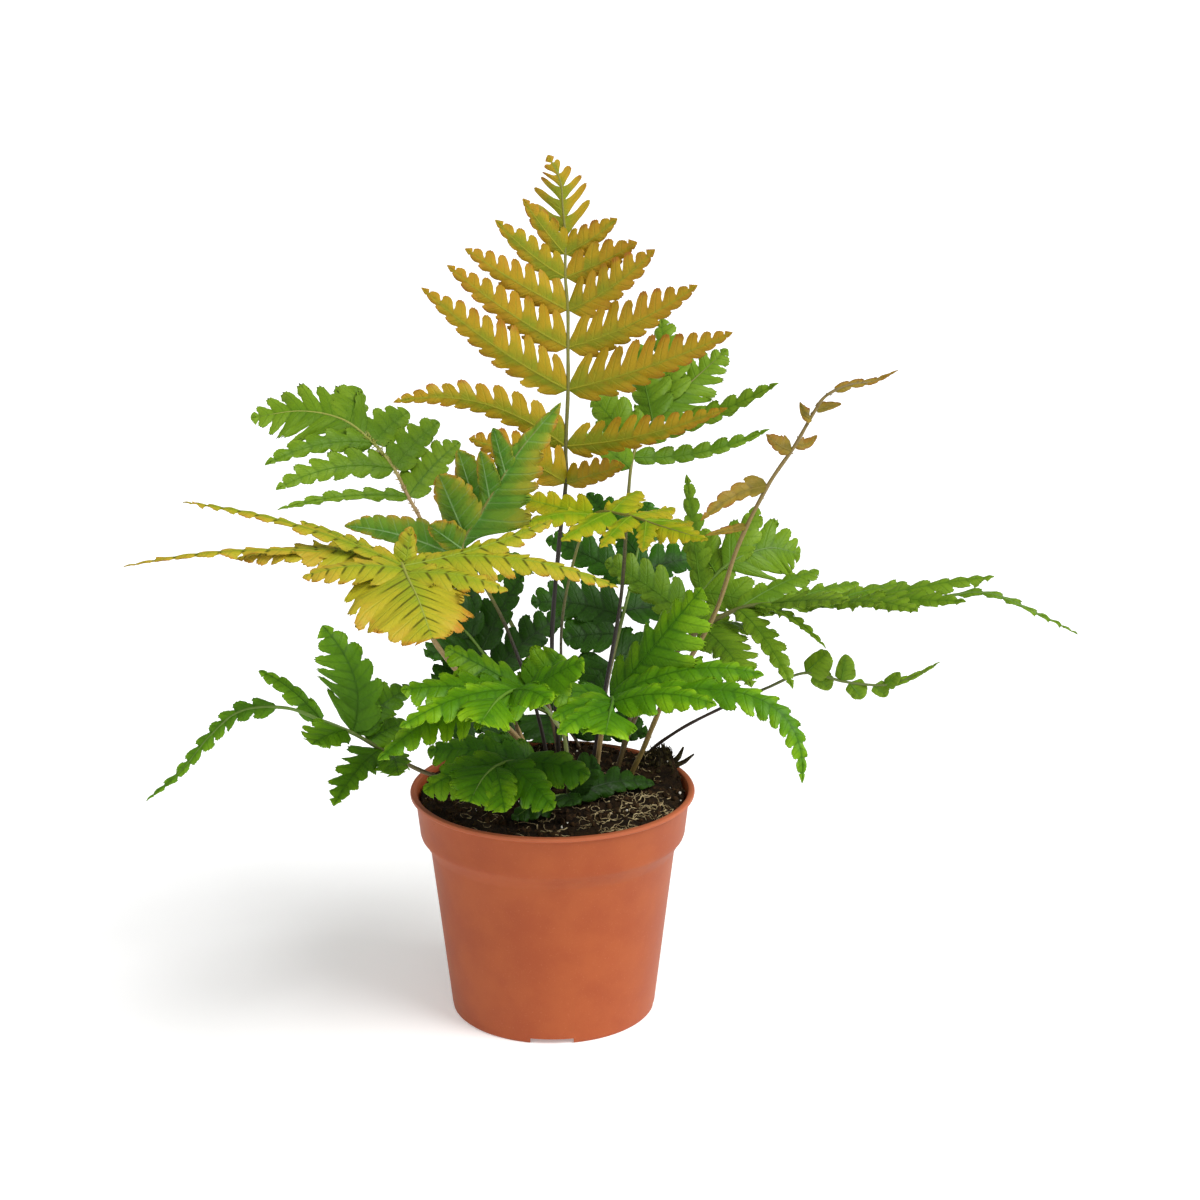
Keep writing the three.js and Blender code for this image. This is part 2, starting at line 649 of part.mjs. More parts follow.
// The end of a frond, where its last side leaves run together in one lobed blade
function tipBlade(line, face, [from, width, ease, left = 1]) {
  const rib = (s) => {
    const place = THREE.MathUtils.lerp(from, line.last, s);
    const along = line.along(place);
    return { point: line.at(place), along, normal: upright(face, along) };
  };
  const length = line.at(from).distanceTo(line.at(line.last));
  const lobes = THREE.MathUtils.clamp(Math.round(length / 10), 2, MOST_LOBES);
  return leaf(rib, { width, ease, sides: [left, 1], lobes, blunt: false, ...TIP });
}

function stalkRadius(frond, line) {
  return (place) => THREE.MathUtils.lerp(frond.stalk, STALK_TIP_RADIUS, (place / line.last) ** 1.3);
}

// Where the stalk's rings stand: at the points of its path, as far as just inside the tip
function stalkPlaces(frond) {
  const end = frond.tip[0] + 0.3;
  return [...frond.path.keys()].filter((place) => place < end - 0.05).concat(end);
}

function frondSolid(frond) {
  const line = lineOf(frond);
  const face = vec(frond.face).normalize();
  const blades = frond.leaves.map((row) => pinna(line, face, Boolean(frond.rounded), row));
  blades.push(tipBlade(line, face, frond.tip));
  blades.push(stalk(line, stalkPlaces(frond), stalkRadius(frond, line)));
  const solid = wasm.Manifold.union(blades);
  const loose = solid.decompose().filter((body) => body.volume() > 1).length - 1;
  if (loose > 0) throw new Error(`${frond.name}: ${loose} leaves miss the rib`);
  return solid;
}

// The hole that a stalk stands in: the same stalk, a gap wider and deeper
function stalkHole(frond) {
  const line = lineOf(frond);
  const radius = stalkRadius(frond, line);
  const down = line.along(0).multiplyScalar(-GAP);
  const wide = stalk(line, [0, 1, 2], (place) => radius(place) + GAP + 0.15);
  return wide.translate(down.toArray());
}

const fern = new THREE.Group();
fern.add(meshOf("pot", pot(), "pot", 0.55));
fern.add(meshOf("soil", wasm.Manifold.difference([soil(), ...FRONDS.map(stalkHole)]), "soil", 0.95));
for (const frond of FRONDS) fern.add(meshOf(frond.name, frondSolid(frond), frond.colour, 0.5));

export default fern;
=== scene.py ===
import math

import bpy
import numpy as np
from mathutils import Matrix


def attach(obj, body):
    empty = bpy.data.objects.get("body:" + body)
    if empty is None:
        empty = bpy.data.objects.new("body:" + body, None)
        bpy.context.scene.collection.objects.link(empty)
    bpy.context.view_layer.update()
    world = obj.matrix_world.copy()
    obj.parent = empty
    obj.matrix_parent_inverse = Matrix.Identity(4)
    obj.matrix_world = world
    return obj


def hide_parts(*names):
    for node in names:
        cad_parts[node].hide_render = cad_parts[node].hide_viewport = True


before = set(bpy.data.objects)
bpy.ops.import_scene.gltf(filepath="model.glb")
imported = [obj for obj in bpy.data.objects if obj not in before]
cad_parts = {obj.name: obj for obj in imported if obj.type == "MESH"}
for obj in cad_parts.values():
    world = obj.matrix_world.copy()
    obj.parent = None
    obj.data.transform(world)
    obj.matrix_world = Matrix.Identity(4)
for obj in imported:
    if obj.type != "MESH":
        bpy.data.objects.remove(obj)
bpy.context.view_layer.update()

# Studio. The plant stands on a sheet of white card that runs far back, and the camera is a short
# telephoto a metre away, level with the top of the plant and tipped down on it. A wide soft light
# from the right gives the pale shadow on the left, and a weaker one from the front fills it.

CAMERA_AT = (0.020, -0.977, 0.460)
CAMERA_TIPPED_DOWN = 16
LENS = 73.86
SENSOR = 36

scene = bpy.context.scene
scene.view_settings.view_transform = "Standard"


def link(name, data):
    made = bpy.data.objects.new(name, data)
    scene.collection.objects.link(made)
    return made


camera = link("camera", bpy.data.cameras.new("camera"))
camera.data.lens = LENS
camera.data.sensor_width = SENSOR
camera.location = CAMERA_AT
camera.rotation_euler = (math.radians(90 - CAMERA_TIPPED_DOWN), 0, 0)
scene.camera = camera


def window_light(name, turn, height, spread, strength):
    """Light from afar, as a wide soft box gives it: even over the whole floor."""
    made = link(name, bpy.data.lights.new(name, "SUN"))
    made.data.energy = strength
    made.data.angle = math.radians(spread)
    made.rotation_euler = (math.radians(90 - height), 0, math.radians(turn))


window_light("key_light", 62, 46, 40, 3.3)
window_light("fill_light", -20, 38, 60, 0.8)

scene.world = bpy.data.worlds.new("white_room")
scene.world.use_nodes = True
scene.world.node_tree.nodes["Background"].inputs["Color"].default_value = (1, 1, 1, 1)
scene.world.node_tree.nodes["Background"].inputs["Strength"].default_value = 0.3


def mesh_piece(name, points, faces, smooth=True):
    """A mesh object from points in metres."""
    mesh = bpy.data.meshes.new(name)
    corners = [tuple(p) for p in np.asarray(points, float)]
    mesh.from_pydata(corners, [], [tuple(int(k) for k in face) for face in faces])
    mesh.validate()
    mesh.polygons.foreach_set("use_smooth", [smooth] * len(mesh.polygons))
    return link(name, mesh)


FLOOR_HALF = 40
floor_corners = [(FLOOR_HALF * x, FLOOR_HALF * y, 0) for x, y in ((-1, -1), (1, -1), (1, 1), (-1, 1))]
floor = mesh_piece("floor", floor_corners, [(0, 1, 2, 3)])

# Pot. A thin injection-moulded nursery pot of terracotta-coloured plastic: tapered wall, stepped
# collar with a rolled lip, foot with four notches that let the water out, and drain holes in the
# raised ring of the floor. Satin, with a faint mottle of the pigment, and a painted highlight: the
# top of the lip is lighter in colour.

MM = 0.001
POT_HEIGHT = 98
RIM_RADIUS = 60
FOOT_RADIUS = 43.4
WALL = 1.3
COLLAR_RADIUS = 56
COLLAR_DROP = 19
BODY_TOP_RADIUS = 52
BODY_TOP = 73.5
FLOOR_DISC = 29
FLOOR_RAISE = 2.4
FLOOR_THICK = 1.6
FOOT_WIDTH = 2.2
NOTCH_WIDTH = 18
NOTCH_HEIGHT = 2.3
DRAIN_RADIUS = 4
DRAIN_RING = 35
POT_SIDES = 160


class Shade:
    """A socket of a finish. Arithmetic on it adds Math nodes, and node() adds any other kind."""

    def __init__(self, tree, socket=None):
        self.tree = tree
        self.socket = socket

    def fill(self, node, inputs):
        for name, value in inputs.items():
            if isinstance(value, Shade):
                self.tree.links.new(value.socket, node.inputs[name])
            else:
                node.inputs[name].default_value = value
        return node

    def node(self, kind, settings=None, inputs=None, output=0):
        made = self.tree.nodes.new("ShaderNode" + kind)
        for name, value in (settings or {}).items():
            setattr(made, name, value)
        return Shade(self.tree, self.fill(made, inputs or {}).outputs[output])

    def maths(self, operation, *values):
        return self.node("Math", {"operation": operation}, dict(enumerate(values)))

    def __add__(self, other):
        return self.maths("ADD", self, other)

    def __sub__(self, other):
        return self.maths("SUBTRACT", self, other)

    def __rsub__(self, other):
        return self.maths("SUBTRACT", other, self)

    def __mul__(self, other):
        return self.maths("MULTIPLY", self, other)

    __radd__ = __add__
    __rmul__ = __mul__

    def clamped(self):
        return self.node("Clamp", inputs={0: self})

    def ramp(self, low, high):
        """0 where this is low and 1 where it is high, smooth between."""
        settings = {"interpolation_type": "SMOOTHSTEP"}
        return self.node("MapRange", settings, {"Value": self, "From Min": low, "From Max": high})

    def mix(self, start, end):
        """The colour start where this is 0, and end where it is 1."""
        return self.node("Mix", {"data_type": "RGBA"}, {0: self, 6: start, 7: end}, output=2)

    def noise(self, scale, detail=2, rough=0.5):
        inputs = {"Vector": self, "Scale": scale, "Detail": detail, "Roughness": rough}
        return self.node("TexNoise", inputs=inputs)

    def bump(self, height, strength, distance):
        inputs = {"Height": height, "Strength": strength, "Distance": distance}
        return self.node("Bump", inputs=inputs)


def colour(code):
    """A colour from its usual six-digit code, as the amounts of light that Blender works in."""
    parts = [int(code[k : k + 2], 16) / 255 for k in (0, 2, 4)]
    return (*[c / 12.92 if c <= 0.04045 else ((c + 0.055) / 1.055) ** 2.4 for c in parts], 1)


def new_finish(name):
    """A material, its main shader and the place on the object, for a finish to start from."""
    material = bpy.data.materials.new(name)
    material.use_nodes = True
    shade = Shade(material.node_tree)
    place = shade.node("TexCoord", output="Object")
    return material, material.node_tree.nodes["Principled BSDF"], place


def floor_finish():
    material, shader, place = new_finish("white_card")
    grain = place.noise(900, 2)
    shader.inputs["Emission Strength"].default_value = 0.26
    shader.inputs["Specular IOR Level"].default_value = 0.1
    place.fill(shader, {
        "Base Color": grain.mix(colour("f4f4f4"), colour("fafafa")),
        "Roughness": 0.85,
        "Emission Color": (1, 1, 1, 1),
    })
    return material


floor.data.materials.append(floor_finish())


def turned(profile, sides):
    """Points and faces of a profile of (radius, height), in millimetres, turned about the pot's axis."""
    angles = np.linspace(0, 2 * math.pi, sides, endpoint=False)
    radii, heights = np.array(profile, float).T
    x = np.outer(radii, np.cos(angles))
    y = np.outer(radii, np.sin(angles))
    z = np.repeat(heights[:, None], sides, axis=1)
    points = np.stack([x, y, z], axis=-1).reshape(-1, 3) * MM
    faces = []
    for i in range(len(profile) - 1):
        for k in range(sides):
            near, far = i * sides, (i + 1) * sides
            faces.append((near + k, near + (k + 1) % sides, far + (k + 1) % sides, far + k))
    return points, faces


def pot_profile():
    """The pot's section, from the middle of its underside, up the outside and down the inside."""
    collar = POT_HEIGHT - COLLAR_DROP
    channel = FOOT_RADIUS - FOOT_WIDTH
    top = POT_HEIGHT
    return [
        (0.01, 0), (FLOOR_DISC - 0.4, 0), (FLOOR_DISC, 0.4), (FLOOR_DISC + 1.6, FLOOR_RAISE - 0.4),
        (FLOOR_DISC + 2.2, FLOOR_RAISE), (channel, FLOOR_RAISE), (channel, 0.3), (channel + 0.3, 0),
        (FOOT_RADIUS - 0.7, 0), (FOOT_RADIUS - 0.1, 0.5), (FOOT_RADIUS + 0.15, 1.6),
        (BODY_TOP_RADIUS - 3.1, 48), (BODY_TOP_RADIUS - 0.3, BODY_TOP - 1.8),
        (BODY_TOP_RADIUS + 0.3, BODY_TOP), (BODY_TOP_RADIUS + 1.4, BODY_TOP + 1.6),
        (COLLAR_RADIUS - 1.6, collar - 1.9), (COLLAR_RADIUS - 0.4, collar - 0.6),
        (COLLAR_RADIUS, collar + 0.6), (COLLAR_RADIUS + 0.25, collar + 3),
        (RIM_RADIUS - 2.3, top - 3.4), (RIM_RADIUS - 2, top - 2.6), (RIM_RADIUS - 0.7, top - 2.1),
        (RIM_RADIUS - 0.1, top - 1.6), (RIM_RADIUS, top - 1), (RIM_RADIUS - 0.3, top - 0.3),
        (RIM_RADIUS - 1, top), (RIM_RADIUS - 1.9, top), (RIM_RADIUS - 2.6, top - 0.4),
        (RIM_RADIUS - 2.9, top - 1.2), (COLLAR_RADIUS - WALL, collar + 0.6),
        (COLLAR_RADIUS - WALL - 0.8, collar - 0.8), (BODY_TOP_RADIUS - WALL + 0.4, BODY_TOP + 0.8),
        (BODY_TOP_RADIUS - WALL, BODY_TOP - 1),
        (FOOT_RADIUS - WALL + 0.2, FLOOR_RAISE + FLOOR_THICK + 1),
        (FOOT_RADIUS - WALL - 0.8, FLOOR_RAISE + FLOOR_THICK),
        (FLOOR_DISC + 1, FLOOR_RAISE + FLOOR_THICK), (FLOOR_DISC - 1, FLOOR_THICK),
        (0.01, FLOOR_THICK),
    ]


def cutter():
    """The notches' boxes and the drain holes' rods, as one mesh to cut the pot with."""
    points, faces = [], []
    for k in range(4):
        ahead, aside = math.cos(k * math.pi / 2), math.sin(k * math.pi / 2)
        half = NOTCH_WIDTH / 2
        box = [(x, y, z) for x in (-7, 7) for y in (-half, half) for z in (-3, NOTCH_HEIGHT)]
        corners = [(FOOT_RADIUS + x, y, z) for x, y, z in box]
        quads = [(0, 1, 3, 2), (4, 6, 7, 5), (0, 4, 5, 1), (2, 3, 7, 6), (0, 2, 6, 4), (1, 5, 7, 3)]
        rod_angles = [2 * math.pi * i / 24 for i in range(24)]
        rod = [
            (DRAIN_RING + DRAIN_RADIUS * math.cos(a), DRAIN_RADIUS * math.sin(a), z)
            for z in (-3, 8) for a in rod_angles
        ]
        walls = [(i, (i + 1) % 24, 24 + (i + 1) % 24, 24 + i) for i in range(24)]
        ends = [tuple(range(23, -1, -1)), tuple(range(24, 48))]
        for shape, sides in ((corners, quads), (rod, walls + ends)):
            first = len(points)
            for x, y, z in shape:
                points.append((x * ahead - y * aside, x * aside + y * ahead, z))
            faces += [tuple(first + i for i in side) for side in sides]
    return mesh_piece("cutter", np.array(points) * MM, faces)


def with_modifiers_applied(piece):
    """The piece with the shape that its modifiers give it, and no modifiers."""
    seen = piece.evaluated_get(bpy.context.evaluated_depsgraph_get())
    made = bpy.data.meshes.new_from_object(seen)
    piece.modifiers.clear()
    piece.data = made
    return piece


def pot_finish():
    material, shader, place = new_finish("terracotta_plastic")
    height = place.node("SeparateXYZ", inputs={0: place}, output="Z")
    mottle = place.noise(55, 4, 0.6)
    speck = place.noise(1500, 2, 0.6).ramp(0.62, 0.72)
    # Painted highlight: a lighter band of colour along the top of the lip.
    lip_highlight = height.ramp((POT_HEIGHT - 2.4) * MM, (POT_HEIGHT - 1.2) * MM)
    base = mottle.ramp(0.3, 0.7).mix(colour("9a4926"), colour("a3522b"))
    base = (speck * 0.25).mix(base, colour("c47452"))
    base = (lip_highlight * 0.4).mix(base, colour("c0704f"))
    flow = place.noise(260, 3, 0.55)
    shader.inputs["Specular IOR Level"].default_value = 0.2
    shader.inputs["Subsurface Weight"].default_value = 0.06
    shader.inputs["Subsurface Scale"].default_value = 0.002
    place.fill(shader, {
        "Base Color": base,
        "Roughness": mottle * 0.14 + 0.44,
        "Normal": place.bump(flow, 0.12, 0.0004),
    })
    return material


pot_points, pot_faces = turned(pot_profile(), POT_SIDES)
pot = mesh_piece("pot_moulded", pot_points, pot_faces)
cuts = cutter()
cutting = pot.modifiers.new("notches_and_drains", "BOOLEAN")
cutting.object = cuts
cutting.operation = "DIFFERENCE"
cutting.solver = "EXACT"
with_modifiers_applied(pot)
bpy.data.objects.remove(cuts)
pot.data.materials.clear()
pot.data.materials.append(pot_finish())
pot.data.polygons.foreach_set("use_smooth", [True] * len(pot.data.polygons))
pot.data.set_sharp_from_angle(angle=math.radians(38))
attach(pot, "root")
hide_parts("pot")

# Soil. Dark, moist potting peat that has settled just under the lip, a little higher at the back,
# rough with crumbs and heaped round the crown and under a tuft of moss at the back right.

SOIL_LEVEL = 94.4
SOIL_SLOPE = 0.038
CROWN = (8, 12)
CROWN_RISE = 3.5
CROWN_SPREAD = 26
MOSS_HUMP = (47, 24)
MOSS_RISE = 9
MOSS_SPREAD = 8
SOIL_GAP = 0.55
SOIL_RINGS = 64
SOIL_SIDES = 168


def soil_height(x, y):
    """The soil's level at a place in millimetres, with its lumps."""
    crown = np.exp(-((x - CROWN[0]) ** 2 + (y - CROWN[1]) ** 2) / (2 * CROWN_SPREAD**2))
    moss = np.exp(-((x - MOSS_HUMP[0]) ** 2 + (y - MOSS_HUMP[1]) ** 2) / (2 * MOSS_SPREAD**2))
    lumps = 0.9 * np.sin(x * 0.31 + 1.3 * np.sin(y * 0.23)) * np.sin(y * 0.37 + 1.1 * np.sin(x * 0.19))
    crumbs = 0.45 * np.sin(x * 1.07 + 2 * np.sin(y * 0.71)) * np.sin(y * 1.31 + 1.7 * np.sin(x * 0.83))
    return SOIL_LEVEL + SOIL_SLOPE * y + CROWN_RISE * crown + MOSS_RISE * moss + lumps + crumbs


def inside_radius(z):
    """The pot's inner radius at a height, less the gap."""
    collar = POT_HEIGHT - COLLAR_DROP + 0.6
    heights = [FLOOR_RAISE + FLOOR_THICK, BODY_TOP + 0.6, collar, POT_HEIGHT]
    radii = [FOOT_RADIUS - WALL - 0.8, BODY_TOP_RADIUS - WALL, COLLAR_RADIUS - WALL, RIM_RADIUS - 3]
    return np.interp(z, heights, radii) - SOIL_GAP


def soil_mesh():
    rng = np.random.default_rng(4)
    edge = SOIL_LEVEL - SOIL_SLOPE * RIM_RADIUS - 2.5
    angles = np.linspace(0, 2 * math.pi, SOIL_SIDES, endpoint=False)
    top_radii = np.linspace(0.4, inside_radius(edge), SOIL_RINGS)
    rings = []
    for radius in top_radii:
        x, y = radius * np.cos(angles), radius * np.sin(angles)
        rough = rng.uniform(-0.35, 0.35, SOIL_SIDES) * min(1, radius / 6)
        rings.append(np.stack([x, y, soil_height(x, y) + rough], axis=-1))
    fall = np.array([BODY_TOP + 8, BODY_TOP, 40, FLOOR_RAISE + FLOOR_THICK + 0.4])
    for z in fall:
        radius = inside_radius(z)
        level = np.full(SOIL_SIDES, z)
        rings.append(np.stack([radius * np.cos(angles), radius * np.sin(angles), level], axis=-1))
    rings = np.array(rings)
    n = SOIL_SIDES
    points = rings.reshape(-1, 3)
    top = points[:n].mean(axis=0).reshape(1, 3)
    bottom = np.array([[0, 0, fall[-1]]])
    faces = []
    for i in range(len(rings) - 1):
        for k in range(n):
            j = (k + 1) % n
            faces.append((i * n + k, (i + 1) * n + k, (i + 1) * n + j, i * n + j))
    last = (len(rings) - 1) * n
    crown_point, base_point = len(points), len(points) + 1
    for k in range(n):
        j = (k + 1) % n
        faces.append((crown_point, k, j))
        faces.append((base_point, last + j, last + k))
    return np.vstack([points, top, bottom]) * MM, faces


def soil_finish():
    material, shader, place = new_finish("moist_peat")
    clods = place.noise(240, 6, 0.7)
    fine = place.noise(1400, 4, 0.7)
    base = clods.ramp(0.35, 0.7).mix(colour("150d06"), colour("342310"))
    base = fine.ramp(0.55, 0.8).mix(base, colour("4e3e26"))
    shader.inputs["Specular IOR Level"].default_value = 0.15
    place.fill(shader, {
        "Base Color": base,
        "Roughness": 0.95 - clods * 0.25,
        "Normal": place.bump(fine + clods, 0.9, 0.0012),
    })
    return material


soil = mesh_piece("soil_plug", *soil_mesh())
soil.data.materials.append(soil_finish())
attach(soil, "root")
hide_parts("soil")

# Crumbs, grit and root fibres. Loose on the soil: peat crumbs, white grains of perlite, and tan
# fibres of coir and old root, thickest at the right. More dark crumbs are heaped along the wall at
# the back, where they cover the pot's inner wall and stand in for the shade on it.

CRUMBS = 950
SHADE_EDGE_CRUMBS = 150
GRAINS = 46
FIBRES = 190


def join(pieces):
    """Several (points, faces) as one."""
    points, faces, first = [], [], 0
    for some_points, some_faces in pieces:
        points.append(np.asarray(some_points, float))
        faces += [tuple(first + k for k in face) for face in some_faces]
        first += len(some_points)
    return np.vstack(points), faces


def crumb(rng, centre, size):
    """A knobbly grain: a twice-cut octahedron with its points pushed in and out."""
    a = (1 + 5**0.5) / 2
    points = np.array([
        (-1, a, 0), (1, a, 0), (-1, -a, 0), (1, -a, 0), (0, -1, a), (0, 1, a),
        (0, -1, -a), (0, 1, -a), (a, 0, -1), (a, 0, 1), (-a, 0, -1), (-a, 0, 1),
    ]) / 1.9
    faces = [
        (0, 11, 5), (0, 5, 1), (0, 1, 7), (0, 7, 10), (0, 10, 11), (1, 5, 9), (5, 11, 4),
        (11, 10, 2), (10, 7, 6), (7, 1, 8), (3, 9, 4), (3, 4, 2), (3, 2, 6), (3, 6, 8), (3, 8, 9),
        (4, 9, 5), (2, 4, 11), (6, 2, 10), (8, 6, 7), (9, 8, 1),
    ]
    points = points * rng.uniform(0.6, 1.15, (12, 1)) * rng.uniform(0.6, 1.2, 3) * size
    turn = rng.uniform(0, 2 * math.pi)
    spin = np.array([[math.cos(turn), -math.sin(turn), 0], [math.sin(turn), math.cos(turn), 0], [0, 0, 1]])
    return points @ spin.T + centre, faces


def on_soil(rng, reach=56):
    radius = reach * math.sqrt(rng.uniform(0, 1))
    angle = rng.uniform(0, 2 * math.pi)
    x, y = radius * math.cos(angle), radius * math.sin(angle)
    return np.array([x, y, float(soil_height(x, y))])


def tube(points, radii, sides=6):
    """A closed tube along points, in millimetres, with a radius at each of them."""
    points = np.asarray(points, float)
    along = np.gradient(points, axis=0)
    along /= np.linalg.norm(along, axis=1)[:, None]
    side = np.cross(along[0], (0.13, 0.21, 1.0))
    if np.linalg.norm(side) < 1e-6:
        side = np.array([1.0, 0, 0])
    angles = np.linspace(0, 2 * math.pi, sides, endpoint=False)
    rings = []
    for point, direction, radius in zip(points, along, radii):
        side = side - direction * side.dot(direction)
        side /= np.linalg.norm(side)
        up = np.cross(direction, side)
        rings.append(point + radius * (np.outer(np.cos(angles), side) + np.outer(np.sin(angles), up)))
    faces = []
    for i in range(len(rings) - 1):
        for k in range(sides):
            j = (k + 1) % sides
            faces.append((i * sides + k, i * sides + j, (i + 1) * sides + j, (i + 1) * sides + k))
    faces.append(tuple(range(sides - 1, -1, -1)))
    last = (len(rings) - 1) * sides
    faces.append(tuple(range(last, last + sides)))
    return np.vstack(rings), faces


def fibre(rng):
    start = on_soil(rng, 54)
    if rng.uniform() < 0.45:
        start = np.array([rng.uniform(16, 50), rng.uniform(-40, 0), 0])
    heading = rng.uniform(0, 2 * math.pi)
    bend = rng.uniform(-0.6, 0.6)
    step = rng.uniform(0.6, 1.7)
    x, y = start[0], start[1]
    points = []
    for k in range(9):
        if math.hypot(x, y) > 55:
            break
        lift = rng.uniform(0.1, 0.9)
        points.append((x, y, float(soil_height(x, y)) + lift))
        heading += bend + rng.uniform(-0.3, 0.3)
        x, y = x + step * math.cos(heading), y + step * math.sin(heading)
    if len(points) < 3:
        return None
    return tube(points, np.linspace(0.22, 0.09, len(points)) * rng.uniform(0.6, 1.4), sides=4)


def plain_finish(name, dark, light, scale, roughness):
    material, shader, place = new_finish(name)
    mottle = place.noise(scale, 3, 0.6)
    shader.inputs["Specular IOR Level"].default_value = 0.2
    place.fill(shader, {
        "Base Color": mottle.ramp(0.3, 0.7).mix(colour(dark), colour(light)),
        "Roughness": roughness,
        "Normal": place.bump(mottle, 0.5, 0.0003),
    })
    return material


def litter(name, shapes, finish, smooth=False):
    points, faces = join(shapes)
    made = mesh_piece(name, points * MM, faces, smooth)
    made.data.materials.append(finish)
    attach(made, "root")
    return made


crumb_rng = np.random.default_rng(21)
crumb_shapes = [
    crumb(crumb_rng, on_soil(crumb_rng), 0.5 + 1.8 * crumb_rng.uniform(0, 1) ** 2) for _ in range(CRUMBS)
]
# Painted shade: dark crumbs along the back wall cover the orange inner wall where it lies in shade.
edge_rng = np.random.default_rng(8)
for edge_angle in edge_rng.uniform(0.5, 2.7, SHADE_EDGE_CRUMBS):
    edge_radius = edge_rng.uniform(50, 53.5)
    edge_x, edge_y = edge_radius * math.cos(edge_angle), edge_radius * math.sin(edge_angle)
    edge_at = np.array([edge_x, edge_y, float(soil_height(edge_x, edge_y)) + 0.5])
    crumb_shapes.append(crumb(edge_rng, edge_at, edge_rng.uniform(0.8, 1.7)))
litter("peat_crumbs", crumb_shapes, plain_finish("peat_crumb", "1a1007", "402c16", 700, 0.95))
grain_shapes = [
    crumb(crumb_rng, on_soil(crumb_rng) + (0, 0, 0.3), crumb_rng.uniform(0.35, 0.8)) for _ in range(GRAINS)
]
litter("perlite_grains", grain_shapes, plain_finish("perlite", "cfc8ba", "f0ece2", 900, 0.9))
fibre_shapes = [shape for shape in (fibre(crumb_rng) for _ in range(FIBRES)) if shape]
litter("root_fibres", fibre_shapes, plain_finish("old_root", "7c6844", "c9b68c", 500, 0.8), True)

# Moss. A dark tuft of it with the stubs of old stalks, heaped against the rim at the back right. Its
# two longest stubs lean out over the rim.

MOSS_CRUMBS = 130
MOSS_STUBS = 70


def on_moss(rng):
    x, y = rng.normal(MOSS_HUMP, (5, 4.5))
    kept = min(1, 53 / math.hypot(x, y))
    return np.array([x * kept, y * kept, float(soil_height(x * kept, y * kept))])


def stub(foot, end, thick):
    """A short dry stub that narrows to its end, from foot to end."""
    foot, end = np.asarray(foot, float), np.asarray(end, float)
    return tube([foot, (foot + end) / 2 + (0.6, 0, -0.4), end], (thick, thick * 0.8, thick * 0.3), sides=5)


moss_rng = np.random.default_rng(33)
moss_shapes = [crumb(moss_rng, on_moss(moss_rng), moss_rng.uniform(0.7, 1.9)) for _ in range(MOSS_CRUMBS)]
for _ in range(MOSS_STUBS):
    moss_foot = on_moss(moss_rng) - (0, 0, 0.5)
    moss_shapes.append(stub(moss_foot, moss_foot + moss_rng.normal((1, 0, 3), (1.6, 1.4, 1.2)), 0.5))
moss_shapes.append(stub((51, 25, 99), (56, 26, 106.5), 1.5))
moss_shapes.append(stub((51.5, 23, 98.5), (60.5, 24, 104), 1.3))
litter("moss_tuft", moss_shapes, plain_finish("dark_moss", "171109", "3a3216", 500, 0.95))

# Copper frond. The youngest and tallest: it stands upright in the middle on a thin dark stalk, and
# its leaves are still bronze to copper, greener along the ribs. Each leaf is cut into round lobes
# that are joined at the rib, and the leaves lie in pairs, a little one over the next.

LEAF_THICK = 0.32
LEAF_TILT = 9
LEAF_FOLD = -0.16
NARROWER_HALF = 0.8
WIDER_HALF = 1.2
STALK_END_RADIUS = 0.45

# How a leaf is cut, for its wider and its narrower half: the lean of a lobe in degrees from the
# rib, and the share of its length where it is joined to the next. Then, as shares of a lobe, the
# slit beside it, the narrowing to its end, the roundness of its end and its teeth. pleat is the
# swell between veins in millimetres, twist the lobes' own turn, and spacing the room for a lobe.
COPPER_LOBES = {
    "lean": (60, 52), "joined": (0.3, 0.66), "slit": 0.17, "taper": 0.05, "corner": 0.34, "teeth": 0.03,
    "pleat": 0.4, "twist": 0.14, "spacing": 7.4, "ease": 2.1,
}
COPPER_END = {
    "lean": (50, 50), "joined": (0.12, 0.12), "slit": 0.36, "taper": 0.1, "corner": 0.34, "teeth": 0.02,
    "pleat": 0.3, "twist": 0.1, "spacing": 7.0,
}


def smooth_line(knots):
    """The line through a frond's points, as a function of the place on it, counted in points."""
    knots = np.array(knots, float)
    ends = np.vstack([2 * knots[0] - knots[1], knots, 2 * knots[-1] - knots[-2]])

    def at(place):
        place = np.clip(np.asarray(place, float), 0, len(knots) - 1)
        k = np.minimum(place.astype(int), len(knots) - 2)
        t = (place - k)[..., None]
        a, b, c, d = ends[k], ends[k + 1], ends[k + 2], ends[k + 3]
        slope = (c - a) / 2
        square = a - 2.5 * b + 2 * c - d / 2
        cube = 1.5 * (b - c) + (d - a) / 2
        direction = slope + 2 * t * square + 3 * t**2 * cube
        point = b + t * slope + t**2 * square + t**3 * cube
        return point, direction / np.linalg.norm(direction, axis=-1, keepdims=True)

    return at


def unit(v):
    return v / np.linalg.norm(v, axis=-1, keepdims=True)


def turned_normals(face, along, degrees):
    """Normals as near to face as they can be at right angles to along, tilted about it."""
    up = unit(face - along * (along @ face)[..., None])
    side = np.cross(along, up)
    turn = math.radians(degrees)
    return up * math.cos(turn) - side * math.sin(turn)


